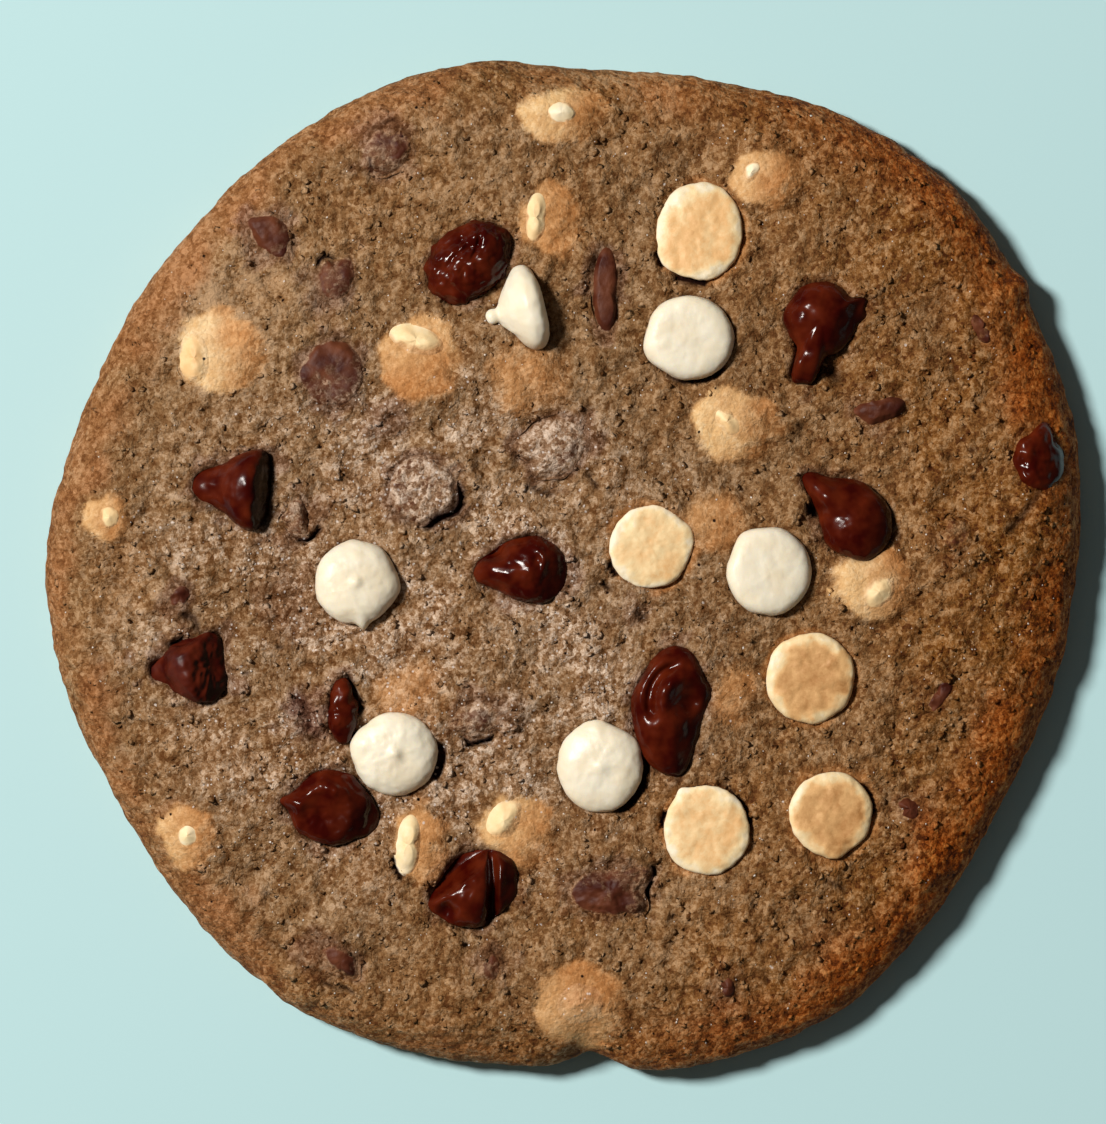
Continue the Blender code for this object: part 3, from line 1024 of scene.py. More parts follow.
@dataclass(frozen=True)
class DoughShape:
    """The dough's form, with the same sizes and formulas as the part's solid.

    A rim event is its heading, how far it moves the rim, and its half width in degrees. A roll is its
    wavelength, heading, phase in degrees and height, and a mound its place, radius and height.
    """

    outline_radii: tuple[float, ...] = (
        59.6, 61.4, 61.9, 62.8, 61.1, 58.5, 57.6, 59.2,
        58.9, 58.1, 58.2, 58.6, 60.2, 59.4, 58.8, 59.3,
        60.1, 59.1, 58.6, 60.3, 61.0, 59.4, 58.0, 58.5,
    )  # every 15 degrees from +X, counter-clockwise
    rim_events: Rows = ((273.2, -2.2, 3.6), (31.3, 1.0, 1.6), (96.5, 0.6, 4.5))
    centre_thickness: float = 9.8
    shoulder_thickness: float = 7.6
    dome_power: float = 2.4
    rim_width: float = 6.0
    waist_height: float = 2.7
    foot_inset: float = 1.8
    rolls: Rows = (
        (46.0, 20.0, 40.0, 0.28),
        (33.0, 105.0, 200.0, 0.24),
        (25.0, 62.0, 310.0, 0.16),
        (19.0, 150.0, 95.0, 0.12),
    )
    mounds: Rows = (
        (-0.8, 52.3, 4.3, 1.1),
        (23.3, 44.8, 4.0, 1.2),
        (20.2, 16.1, 4.6, 1.1),
        (35.8, -2.1, 4.3, 1.2),
        (-52.5, 5.3, 3.2, 0.8),
        (-43.5, -31.4, 4.2, 0.8),
        (1.9, -50.8, 5.4, 1.0),
        (-3.1, 40.4, 3.8, 0.8),
        (-17.8, -15.4, 4.2, 0.7),
        (19.7, -14.9, 3.6, 0.7),
        (-4.0, 21.2, 4.2, 0.8),
        (17.4, 5.1, 3.4, 0.5),
        (-14.9, -32.0, 3.6, 0.6),
        (-5.2, -30.2, 3.8, 0.6),
        (-39.4, 23.8, 4.0, 0.7),
        (-17.0, 21.9, 4.2, 0.6),
    )

    def outline(self, angle: Array) -> Array:
        """Distance from the middle to the rim: a periodic cubic through the radii, with the events added.

        Args:
            angle: Headings in radians.

        Returns:
            One distance for each heading, in millimetres.
        """
        radii = np.array(self.outline_radii)
        place = (np.degrees(angle) % 360.0) / 360.0 * len(radii)
        first = np.floor(place).astype(int)
        t = place - first
        before, start, end, after = (radii[(first + k) % len(radii)] for k in (-1, 0, 1, 2))
        radius = (
            (2 * t**3 - 3 * t**2 + 1) * start
            + (t**3 - 2 * t**2 + t) * (end - before) / 2
            + (3 * t**2 - 2 * t**3) * end
            + (t**3 - t**2) * (after - start) / 2
        )
        for heading, reach, width in self.rim_events:
            radius += reach * bell(degrees_between(angle, heading), width)
        return radius

    def inset(self, x: Array, y: Array) -> Array:
        """Distance inwards from the rim, along the line to the middle."""
        return self.outline(np.arctan2(y, x)) - np.hypot(x, y)

    def level(self, x: Array, y: Array) -> Array:
        """Height of the top: a low dome with slow rolls and mounds, which rounds down at the rim.

        Args:
            x: Places along X, in millimetres.
            y: Places along Y.

        Returns:
            One height for each place, in millimetres.
        """
        reach = self.outline(np.arctan2(y, x))
        distance = np.hypot(x, y)
        share = np.minimum(distance / reach, 1.0)
        drop = self.centre_thickness - self.shoulder_thickness
        height = self.centre_thickness - drop * share**self.dome_power
        for wavelength, heading, phase, size in self.rolls:
            along = x * np.cos(np.radians(heading)) + y * np.sin(np.radians(heading))
            height = height + size * np.sin(2 * np.pi * along / wavelength + np.radians(phase))
        for mound_x, mound_y, radius, size in self.mounds:
            height = height + size * np.exp(-(np.hypot(x - mound_x, y - mound_y) / radius) ** 3)
        inside = np.clip((reach - distance) / self.rim_width, 0.0, 1.0)
        return self.waist_height + (height - self.waist_height) * np.sqrt(1.0 - (1.0 - inside) ** 2)

    def level_at(self, x: float, y: float) -> float:
        """The height of the top at one place."""
        return float(self.level(np.array([x]), np.array([y]))[0])


def cap(
    x: float, y: float, length: float, width: float, turn: float, proud: float, sunk: float, blend: float,
    **looks: Any,
) -> Chip:
    """A chip of which only the top shows, with the dough running on over its edge."""
    return Chip(x, y, length, width, turn, proud, sunk, Form.CAP, blend=blend, **looks)


WHITE_CHIPS = (
    Chip(
        -5.6, 29.2, 7.0, 9.9, turn=194.0, proud=4.2, sunk=2.6, form=Form.LYING, tilt=82.0, waist=0.8,
        ragged=0.0, wrinkle=0.05,
    ),
    Chip(14.5, 26.1, 10.5, 9.7, proud=2.0, form=Form.FLAT, wrinkle=0.03, gaps=(Gap(-80.0, 50.0, 0.5),)),
    Chip(23.7, -0.8, 10.3, 9.8, turn=90.0, proud=1.9, form=Form.FLAT, wrinkle=0.03),
    Chip(-23.9, -2.1, 9.7, 9.7, proud=2.7, form=Form.DROP, tails=((-81.0, 0.8, 7.0),), wrinkle=0.04),
    Chip(-19.5, -21.9, 10.1, 9.6, proud=2.4, form=Form.DROP, wrinkle=0.05, gaps=(Gap(-10.0, 32.0, 0.9),)),
    Chip(
        4.2, -23.4, 10.6, 9.9, turn=90.0, proud=2.3, form=Form.DROP, wrinkle=0.04,
        gaps=(Gap(-30.0, 55.0, 0.8),),
    ),
)

BAKED_CHIPS = (
    cap(-0.2, 52.2, 3.9, 3.1, 0.0, 0.5, 1.6, 0.9, toast=0.25, moat=0.0),
    cap(
        -3.2, 40.0, 6.6, 3.0, 86.0, 0.6, 2.2, 1.0, toast=0.4, moat=0.0, film_heading=-30.0,
        film_reach=0.6,
    ),
    Chip(
        15.7, 38.4, 11.4, 10.1, turn=78.0, proud=0.9, form=Form.FLAT, toast=0.62, halo=1.0,
        gaps=(Gap(-100.0, 26.0, 0.8), Gap(-145.0, 14.0, 0.5)),
    ),
    cap(21.7, 45.3, 3.4, 2.4, 60.0, 0.45, 1.8, 0.9, toast=0.2, moat=0.0),
    Chip(
        -17.0, 25.9, 7.2, 3.9, turn=-18.0, proud=0.7, sunk=2.6, toast=0.35, moat=0.0, blend=1.5,
        film_heading=-80.0, film_reach=0.9,
    ),
    Chip(
        -42.7, 23.8, 7.0, 4.2, turn=94.0, proud=0.6, sunk=2.4, toast=0.6, moat=0.0, blend=1.7,
        film_heading=0.0, film_reach=0.9,
    ),
    cap(18.9, 16.4, 4.2, 3.0, -50.0, 0.5, 1.8, 0.9, toast=0.45, moat=0.0),
    Chip(
        10.1, 2.0, 9.8, 9.5, turn=30.0, proud=0.8, form=Form.FLAT, toast=0.46, halo=0.8,
        gaps=(Gap(-150.0, 14.0, 0.8),),
    ),
    cap(-52.5, 5.4, 3.2, 3.0, 90.0, 0.5, 1.6, 0.9, toast=0.45, moat=0.0),
    cap(36.4, -3.2, 4.8, 4.0, 40.0, 0.6, 2.2, 1.4, toast=0.4, moat=0.0),
    Chip(28.5, -13.2, 10.6, 10.2, turn=70.0, proud=1.0, form=Form.FLAT, toast=0.92, halo=0.6),
    Chip(
        16.5, -30.7, 10.4, 10.0, turn=90.0, proud=0.8, form=Form.FLAT, tails=((122.0, 0.5, 9.0),),
        toast=0.55, halo=0.6, gaps=(Gap(35.0, 40.0, 0.35), Gap(165.0, 16.0, 0.5)),
    ),
    Chip(
        30.9, -28.9, 9.9, 9.5, turn=90.0, proud=0.8, form=Form.FLAT, toast=0.92, halo=1.2,
        gaps=(Gap(20.0, 30.0, 0.4),),
    ),
    Chip(
        -6.9, -29.6, 6.2, 4.4, turn=60.0, proud=0.6, sunk=2.4, toast=0.4, moat=0.0, blend=1.6,
        film_heading=-40.0, film_reach=0.9,
    ),
    Chip(
        -17.9, -32.4, 7.6, 3.4, turn=86.0, proud=0.6, sunk=2.4, toast=0.3, moat=0.0, blend=1.0,
        film_heading=0.0, film_reach=0.7, gaps=(Gap(-120.0, 26.0, 0.6),),
    ),
    cap(-43.5, -31.4, 3.0, 2.8, 90.0, 0.45, 1.6, 0.9, toast=0.3, moat=0.0),
    cap(1.9, -50.8, 6.4, 5.6, 10.0, 0.5, 2.0, 3.0, toast=0.6, moat=0.0, film=1.0),
)

DARK_CHIPS = (
    Chip(
        -10.9, 34.9, 11.0, 8.2, turn=40.0, proud=2.7, wrinkle=0.14, wrinkle_size=1.7, ragged=0.03,
        marks=(
            Facet(0.0, 5.6, 1.2), Fold(-3.0, 3.0, 4.2, -40.0, 20.0, 0.3, 0.4),
            Fold(-3.4, 3.6, 3.2, -50.0, 0.0, 0.3, -0.25), Fold(2.0, -3.0, 5.0, 100.0, 160.0, 0.35, 0.35),
            Dent(-0.6, 2.4, 0.7, 0.5),
        ),
    ),
    Chip(
        29.8, 28.3, 8.6, 8.4, turn=90.0, proud=2.5,
        tails=((-115.0, 3.4, 9.0), (-100.0, 3.2, 10.0), (5.0, 1.4, 9.0), (22.0, 1.7, 9.0)), wrinkle=0.05,
        ragged=0.02,
        marks=(
            Facet(-20.0, 4.4, 1.2), Dent(3.9, 1.2, 0.7, 0.4), Dent(5.4, 1.5, 0.7, -0.6),
            Dent(-2.0, -3.6, 0.9, 0.5), Dent(-3.0, -5.2, 0.7, -0.4),
        ),
    ),
    Chip(
        33.9, 4.8, 9.2, 8.2, turn=-70.0, proud=2.6, tails=((139.0, 2.6, 13.0), (132.0, 1.3, 34.0)),
        wrinkle=0.05,
        marks=(Dent(-2.2, 0.9, 1.6, 0.22), Dent(-3.4, 3.2, 0.9, -0.25), Facet(-15.0, 5.6, 1.3)),
        gaps=(Gap(165.0, 10.0, 1.2),),
    ),
    Chip(
        -38.3, 8.8, 9.5, 9.3, turn=176.0, proud=3.0, sunk=3.0, form=Form.LYING, tilt=107.0,
        knob=(0.5, 0.28), wrinkle=0.05, dull=0.15, marks=(Dent(-2.0, 3.0, 0.8, 1.1),),
    ),
    Chip(
        -43.4, -12.0, 9.6, 8.6, turn=186.0, proud=3.0, sunk=3.0, form=Form.LYING, tilt=126.0,
        knob=(0.45, 0.28), wrinkle=0.1, dull=0.7, marks=(Facet(110.0, 3.2, 0.5), Facet(215.0, 3.4, 0.7)),
        gaps=(Gap(115.0, 24.0, 0.8),),
    ),
    Chip(
        -3.9, -0.6, 9.2, 7.9, turn=170.0, proud=2.6, tails=((184.0, 1.9, 22.0),), wrinkle=0.07,
        marks=(
            Dent(-4.2, 2.3, 1.3, 1.4), Facet(-20.0, 4.2, 1.25),
            Fold(-1.2, 0.6, 2.8, -25.0, 45.0, 0.35, -0.25), Dent(0.8, 1.0, 0.55, 0.35),
        ),
    ),
    Chip(
        12.3, -16.6, 14.6, 8.2, turn=82.0, proud=2.4,
        tails=((-80.0, 1.0, 14.0), (25.0, 0.8, 16.0), (164.0, 0.8, 24.0)), wrinkle=0.06,
        marks=(
            Dent(2.2, 0.8, 1.5, 1.7), Fold(2.2, 0.6, 3.0, 60.0, 265.0, 0.75, -0.45),
            Fold(2.2, 0.6, 4.6, 110.0, 200.0, 0.5, 0.8), Fold(2.2, 0.6, 5.8, 115.0, 190.0, 0.6, -0.3),
            Facet(-20.0, 4.4, 1.2),
        ),
    ),
    Chip(
        -27.0, -28.1, 9.2, 8.8, turn=10.0, proud=2.1, tails=((172.0, 1.0, 9.0), (-18.0, 1.5, 24.0)),
        wrinkle=0.08,
        marks=(
            Dent(-0.7, -1.0, 2.2, 1.0), Fold(-0.7, -0.8, 3.0, 50.0, 185.0, 0.6, -0.3),
            Fold(-1.0, -0.4, 3.6, -60.0, 20.0, 0.5, -0.25), Facet(-14.0, 5.4, 1.25),
        ),
    ),
    Chip(
        -10.1, -37.4, 10.4, 8.4, turn=38.0, proud=2.4, wrinkle=0.06, tails=((200.0, 0.8, 16.0),),
        marks=(
            Fold(-20.0, 0.0, 22.0, -12.0, 12.0, 0.6, 1.6), Dent(-3.2, -2.5, 1.1, 1.1),
            Facet(-8.0, 4.6, 1.2), Facet(128.0, 2.5, 0.6),
        ),
    ),
    Chip(
        -25.5, -17.0, 7.6, 3.4, turn=90.0, proud=1.6, sunk=2.6, wrinkle=0.1, ragged=0.06,
        gaps=(Gap(40.0, 60.0, 0.6),),
    ),
    Chip(55.0, 12.1, 7.8, 6.4, turn=96.0, proud=0.9, sunk=2.4, wrinkle=0.12, ragged=0.08, blend=0.1),
)

SUNKEN_CHIPS = (
    Chip(
        -33.8, 38.1, 5.6, 4.6, turn=-48.0, proud=0.6, tails=((150.0, 0.7, 18.0), (-55.0, 0.5, 18.0)),
        film=0.05, blend=0.5, ragged=0.05,
    ),
    Chip(
        -26.7, 22.0, 8.0, 8.3, proud=0.6, form=Form.FLAT, film=0.3, blend=0.5, ragged=0.03,
        film_heading=-60.0, film_reach=0.25,
    ),
    Chip(
        -16.3, 8.7, 8.3, 8.1, turn=40.0, proud=0.7, form=Form.FLAT, film=0.6, ragged=0.05, blend=0.3,
        gaps=(Gap(-40.0, 62.0, 0.8),),
    ),
    Chip(
        -1.3, 13.5, 8.6, 7.4, turn=20.0, proud=0.8, film=0.62, ragged=0.08, blend=1.4, film_heading=150.0,
        film_reach=0.3,
    ),
    Chip(4.8, 31.8, 10.4, 3.4, turn=88.0, proud=0.5, sunk=2.6, film=0.0, ragged=0.06, blend=0.5),
    Chip(
        -26.3, 33.0, 6.0, 5.0, turn=60.0, proud=0.6, film=0.25, ragged=0.08, blend=0.9,
        gaps=(Gap(120.0, 30.0, 0.4),),
    ),
    Chip(-20.6, 47.6, 6.8, 5.8, turn=30.0, proud=0.6, sunk=2.8, film=0.36, ragged=0.06, blend=0.9),
    Chip(
        -30.5, 5.3, 5.0, 4.4, turn=100.0, proud=0.7, sunk=2.6, film=0.45, ragged=0.08, blend=0.5,
        marks=(Facet(10.0, 0.6, 0.6),), gaps=(Gap(-60.0, 50.0, 0.4),),
    ),
    cap(-44.3, -3.6, 3.4, 3.0, 40.0, 0.5, 2.2, 0.6, film=0.2, ragged=0.08),
    Chip(
        -10.3, -18.0, 6.4, 4.8, turn=10.0, proud=0.8, sunk=2.6, film=0.5, ragged=0.08, blend=1.2,
        gaps=(Gap(-80.0, 50.0, 0.5),),
    ),
    Chip(
        5.4, -37.8, 10.0, 6.2, turn=8.0, proud=0.7, tails=((-28.0, 0.8, 20.0),), film=0.22, ragged=0.1,
        wrinkle=0.14, blend=0.9, film_heading=60.0, film_reach=0.35, gaps=(Gap(10.0, 30.0, 0.5),),
    ),
    cap(-25.7, -45.8, 5.8, 3.6, -32.0, 0.5, 2.2, 0.9, film=0.2, ragged=0.08),
    cap(-8.4, -46.7, 3.8, 3.0, 80.0, 0.5, 2.0, 0.8, film=0.3, ragged=0.08),
    cap(19.0, -49.0, 3.2, 2.4, 100.0, 0.5, 2.0, 0.6, film=0.1, ragged=0.08),
    cap(43.6, -15.3, 4.8, 2.2, 54.0, 0.5, 2.0, 0.5, film=0.0, ragged=0.08),
    cap(40.1, -28.3, 3.4, 2.6, -50.0, 0.5, 2.0, 0.6, film=0.0, ragged=0.08),
    cap(45.2, 3.5, 4.8, 4.2, 30.0, 0.5, 2.4, 1.2, film=0.4, ragged=0.08),
    cap(48.2, 27.1, 4.6, 2.2, -62.0, 0.45, 2.0, 0.6, film=0.1, ragged=0.08),
    Chip(36.5, 17.7, 6.8, 3.4, turn=14.0, proud=0.6, sunk=2.4, film=0.0, ragged=0.06, blend=0.5),
)


@dataclass(frozen=True)
class Crack:
    """A crack or crease in the dough: its path in millimetres, half width, depth and how dark its painted
    shade is.
    """

    path: Rows
    width: float
    depth: float
    shade: float = 0.9


CRACKS = (
    Crack(((2.9, 10.4), (3.8, 8.9)), 0.4, 0.6),
    Crack(((-4.2, 9.0), (-1.5, 8.0)), 0.35, 0.5),
    Crack(((-22.0, 50.2), (-20.4, 51.0), (-19.0, 51.5)), 0.25, 0.4),
    Crack(((-22.4, 46.8), (-22.2, 45.4)), 0.25, 0.4),
    Crack(((-53.6, -11.0), (-52.9, -17.5), (-50.8, -22.5)), 0.6, 0.3, 0.2),
    Crack(((-35.2, -43.1), (-30.4, -46.3), (-25.2, -49.2)), 0.5, 0.4, 0.3),
    Crack(((-28.2, -48.6), (-24.4, -49.6)), 0.3, 0.4),
    Crack(((30.4, -36.6), (32.6, -37.6)), 0.3, 0.4),
    Crack(((8.6, -5.7), (9.2, -6.3)), 0.45, 0.6),
    Crack(((4.6, -2.2), (5.2, -2.9)), 0.45, 0.6),
    Crack(((30.6, 22.4), (31.6, 21.5)), 0.9, 0.9, 0.8),
    Crack(((27.0, 16.1), (27.4, 15.8)), 0.3, 0.4),
    Crack(((-43.9, -5.9), (-42.6, -6.3), (-42.4, -7.6)), 0.5, 0.5),
    Crack(((-33.0, -9.6), (-32.6, -9.6)), 0.3, 0.4),
    Crack(((-36.8, -12.6), (-36.4, -12.6)), 0.3, 0.3),
    Crack(((51.6, 3.8), (54.2, 7.0), (55.6, 9.4)), 0.5, 0.6, 0.8),
)

PIN_HOLES = (
    (38.3, 13.1), (47.2, 13.1), (47.4, 10.0), (44.6, 12.3), (45.0, 21.2), (-11.3, -44.1), (22.1, -39.5),
    (22.9, -43.5), (23.5, -48.1), (12.6, -40.8), (47.9, 2.8),
)  # pits about half a millimetre wide, darkened by painted shade

COVERED_MOUNDS = (
    (44.8, 2.6, 3.0, 0.8, 0.7),
    (-29.6, -17.6, 3.2, 0.7, 0.9),
    (56.0, 7.3, 2.4, 0.7, 0.5),
    (-6.6, -17.8, 3.4, 0.3, 0.3),
    (-12.0, -0.5, 5.5, 0.35, 0.0),
    (-33.8, -11.0, 4.0, 0.3, 0.0),
    (8.0, -4.5, 2.4, 0.4, 0.4),
    (-8.4, -46.7, 3.2, 0.5, 0.5),
    (-21.0, 17.0, 3.6, 0.2, 0.5),
    (-32.0, -4.5, 4.5, 0.0, 0.35),
    (18.3, -48.3, 2.9, 0.2, 0.6),
    (-27.4, -45.2, 3.6, 0.2, 0.6),
    (47.8, 27.3, 2.8, 0.2, 0.5),
    (43.6, -15.0, 2.4, 0.1, 0.5),
    (40.4, -28.2, 2.6, 0.1, 0.5),
    (-26.8, 32.6, 4.2, 0.1, 0.5),
    (-21.0, 48.0, 4.6, 0.1, 0.45),
)  # low mounds over hidden dark chips: place, radius, height and how much the chip stains the dough


@dataclass(frozen=True)
class Mound:
    """A round of thin, golden dough over a white chip.

    wide and high are half its widths along X and Y, heading is the side where the dough is thinnest, and
    pale how much of the chip shines through there. gold says how golden it is and soft how wide its edge.
    Its side towards the lower right, away from the key light, gets painted shade in brown.
    """

    x: float
    y: float
    wide: float
    high: float
    heading: float = 150.0
    pale: float = 0.3
    gold: float = 1.0
    soft: float = 1.0

    def masks(self, x: Array, y: Array, drift: Array) -> tuple[Array, Array, Array]:
        """How golden, how cream-coloured and how much painted shade each place gets.

        Args:
            x: Places along X, in millimetres.
            y: Places along Y.
            drift: Noise that moves the mound's edges, in about 0.35 mm.

        Returns:
            Three arrays of shares from 0 to 1.
        """
        along, across = x - self.x, y - self.y
        mean = (self.wide + self.high) / 2.0
        beyond = (np.hypot(along / self.wide, across / self.high) - 1.0) * mean + 0.35 * drift
        body = smooth_step(beyond, 0.5 * self.soft, -0.5 * self.soft)
        heading = np.radians(self.heading)
        towards = (along * np.cos(heading) + across * np.sin(heading)) / mean + 0.15 * drift
        # painted shade: the mound's side towards the lower right, away from the key light
        away = (along * 0.9 - across * 0.44) / mean + 0.15 * drift
        cream = self.pale * body * smooth_step(towards, -0.8, 0.8)
        return self.gold * body, cream, body * smooth_step(away, 0.1, 1.2)


MOUNDS = (
    Mound(0.1, 51.7, 4.8, 3.3, pale=0.85),
    Mound(-1.5, 40.1, 3.6, 4.0, heading=180.0, pale=0.3),
    Mound(23.3, 44.5, 4.3, 3.3, heading=165.0, pale=0.6),
    Mound(-16.6, 23.7, 4.9, 4.7, heading=105.0, pale=0.5),
    Mound(-39.7, 24.6, 4.9, 4.8, heading=190.0, pale=0.95),
    Mound(19.7, 15.9, 5.0, 4.3, heading=165.0, pale=0.9),
    Mound(-52.6, 5.4, 2.6, 2.9, heading=180.0, pale=0.6),
    Mound(36.0, -2.3, 4.9, 4.2, heading=190.0, pale=0.85),
    Mound(-5.4, -31.2, 4.4, 4.3, heading=145.0, pale=0.7),
    Mound(-16.7, -32.2, 3.2, 4.5, heading=180.0, pale=0.3),
    Mound(-43.5, -31.5, 3.5, 3.5, heading=180.0, pale=0.5),
    Mound(2.1, -50.9, 5.4, 4.8, heading=220.0, pale=0.4),
    Mound(-17.8, -15.4, 4.2, 4.0, pale=0.1, gold=0.65, soft=3.0),
    Mound(19.7, -14.9, 2.2, 3.6, pale=0.1, gold=0.8, soft=2.4),
    Mound(-4.0, 21.2, 4.4, 4.0, pale=0.1, gold=0.7, soft=3.0),
    Mound(17.4, 5.1, 3.2, 3.0, pale=0.2, gold=0.8, soft=2.4),
)

PATCHES = (
    (-38.6, 30.5, 8.0, 0.8),
    (-40.5, 23.8, 4.0, 0.4),
    (0.0, -8.8, 7.0, 0.05),
    (-50.0, -4.2, 6.0, 0.3),
    (-14.0, 44.5, 8.0, 0.2),
    (15.8, -38.9, 6.0, 0.3),
    (-35.7, -4.0, 5.0, -0.5),
    (-30.5, -15.7, 4.0, -0.2),
    (50.5, -4.0, 6.0, -0.15),
    (8.9, 55.5, 5.0, 0.5),
    (-10.8, 56.6, 4.0, -0.25),
)  # paler and darker patches of the top: place, radius and how much paler


@dataclass
class Dough:
    """The dough disc: its top, its rim and its underside as one closed surface."""

    shape: DoughShape
    pale_chips: tuple[Chip, ...]
    white_chips: tuple[Chip, ...]
    dark_chips: tuple[Chip, ...]
    sunken_chips: tuple[Chip, ...]
    cells: int = 248
    coarse: int = 4
    upper_rings: int = 20
    lower_rings: int = 10
    foot_margin: float = 1.6
    lump_height: float = 0.24
    lump_size: float = 5.5
    crumb_height: float = 0.16
    crumb_size: float = 1.6
    pit_spacing: float = 2.4
    pit_share: float = 0.2
    pit_depth: float = 0.3
    pin_depth: float = 0.6
    gap_depth: float = 1.0
    lip_size: float = 3.2
    hot_heading: float = -8.0
    sugar_middle: tuple[float, float] = (-16.0, -8.0)
    finish: BakedDough = BakedDough()

    def chips(self) -> tuple[Chip, ...]:
        """Every chip."""
        return (*self.white_chips, *self.pale_chips, *self.dark_chips, *self.sunken_chips)

    @staticmethod
    def close_chips(chips: tuple[Chip, ...], x: Array, y: Array) -> list[Chip]:
        """Those chips that lie on the points or within 12 mm of the box round them.

        Args:
            chips: The chips to choose from.
            x: The points' places along X, in millimetres.
            y: Their places along Y.

        Returns:
            The close chips, in their order.
        """
        reach = 12.0
        return [
            chip
            for chip in chips
            if x.min() - reach < chip.x < x.max() + reach and y.min() - reach < chip.y < y.max() + reach
        ]

    @staticmethod
    def disc_grid(cells: int) -> tuple[Array, Array, Array]:
        """A square grid laid on a disc by the concentric map.

        A point's distance from the middle is the larger of its two coordinates, and its angle turns
        evenly along each side of its square.

        Args:
            cells: Cells along a side, an even number.

        Returns:
            Distance from 0 to 1, angle, and the numbers of the border's vertices by rising angle.
        """
        line = np.linspace(-1.0, 1.0, cells + 1)
        b, a = (axis.ravel() for axis in np.meshgrid(line, line, indexing="ij"))
        wide = np.abs(a) > np.abs(b)
        distance = np.where(wide, a, b)
        divisor = np.where(distance == 0.0, 1.0, distance)
        angle = np.where(wide, np.pi / 4 * b / divisor, np.pi / 2 - np.pi / 4 * a / divisor)
        angle = np.where(distance < 0.0, angle + np.pi, angle) % (2 * np.pi)
        border = np.flatnonzero(np.abs(distance) > 1.0 - 0.5 / cells)
        return np.abs(distance), angle, border[np.argsort(angle[border])]

    @staticmethod
    def grid_faces(cells: int) -> Array:
        """The quads of a square grid, counter-clockwise from above.

        Args:
            cells: Cells along a side.

        Returns:
            Rows of four vertex numbers.
        """
        row, column = (axis.ravel() for axis in np.mgrid[0:cells, 0:cells])
        first = row * (cells + 1) + column
        return np.stack((first, first + 1, first + cells + 2, first + cells + 1), axis=-1)

    def layout(self) -> tuple[Array, Array, list[Array]]:
        """The plain form, without relief.

        Returns:
            Points, outward directions and faces of the top, the rim's rings and the underside.
        """
        shape = self.shape
        distance, angle, border = self.disc_grid(self.cells)
        distance = distance * (shape.outline(angle) - shape.rim_width)
        x, y = distance * np.cos(angle), distance * np.sin(angle)
        points = [np.column_stack((x, y, shape.level(x, y)))]
        outward = [np.tile((0.0, 0.0, 1.0), (len(x), 1))]
        rim = angle[border]
        reach = shape.outline(rim)
        upper = [(tilt, True) for tilt in np.linspace(90.0, 0.0, self.upper_rings + 1)[1:]]
        lower = [(tilt, False) for tilt in np.linspace(0.0, 90.0, self.lower_rings + 1)[1:]]
        faces = [self.grid_faces(self.cells)]
        count = len(x)
        ring = border
        for tilt, is_upper in upper + lower:
            cosine, sine = np.cos(np.radians(tilt)), np.sin(np.radians(tilt))
            across = shape.rim_width if is_upper else shape.foot_inset
            out = reach - across * (1.0 - cosine)
            x, y = out * np.cos(rim), out * np.sin(rim)
            height = shape.level(x, y) if is_upper else np.full_like(x, shape.waist_height * (1.0 - sine))
            points.append(np.column_stack((x, y, height)))
            up = np.full_like(x, sine if is_upper else -sine)
            outward.append(np.column_stack((cosine * np.cos(rim), cosine * np.sin(rim), up)))
            following = count + np.arange(len(rim))
            faces.append(self.strip(ring, following))
            ring = following
            count += len(rim)
        inner, inner_angle, inner_border = self.disc_grid(self.cells // self.coarse)
        inner = inner * (shape.outline(inner_angle) - shape.foot_inset - self.foot_margin)
        x, y = inner * np.cos(inner_angle), inner * np.sin(inner_angle)
        points.append(np.column_stack((x, y, np.zeros_like(x))))
        outward.append(np.tile((0.0, 0.0, -1.0), (len(x), 1)))
        faces.append(self.grid_faces(self.cells // self.coarse)[:, ::-1] + count)
        faces.append(self.joining(ring, count + inner_border))
        return np.concatenate(points), np.concatenate(outward), faces

    @staticmethod
    def strip(upper: Array, lower: Array) -> Array:
        """The quads between two rings, facing outwards when the second ring lies outside or below."""
        return np.stack((upper, lower, np.roll(lower, -1), np.roll(upper, -1)), axis=-1)

    def joining(self, fine: Array, coarse: Array) -> Array:
        """Triangles from a fine ring to a coarse one inside it.

        Args:
            fine: Numbers of the fine ring's vertices.
            coarse: Numbers of the coarse ring's, one for every self.coarse of the fine ring's.

        Returns:
            The triangles' rows, facing down.
        """
        after = np.roll(fine, -1)
        near = np.repeat(coarse, self.coarse)
        half = self.coarse // 2
        owner = np.roll(near, -half)
        fans = np.stack((fine, owner, after), axis=-1)
        wedge_fine = fine[half :: self.coarse]
        wedges = np.stack((wedge_fine, coarse, np.roll(coarse, -1)), axis=-1)
        return np.concatenate((fans, wedges))

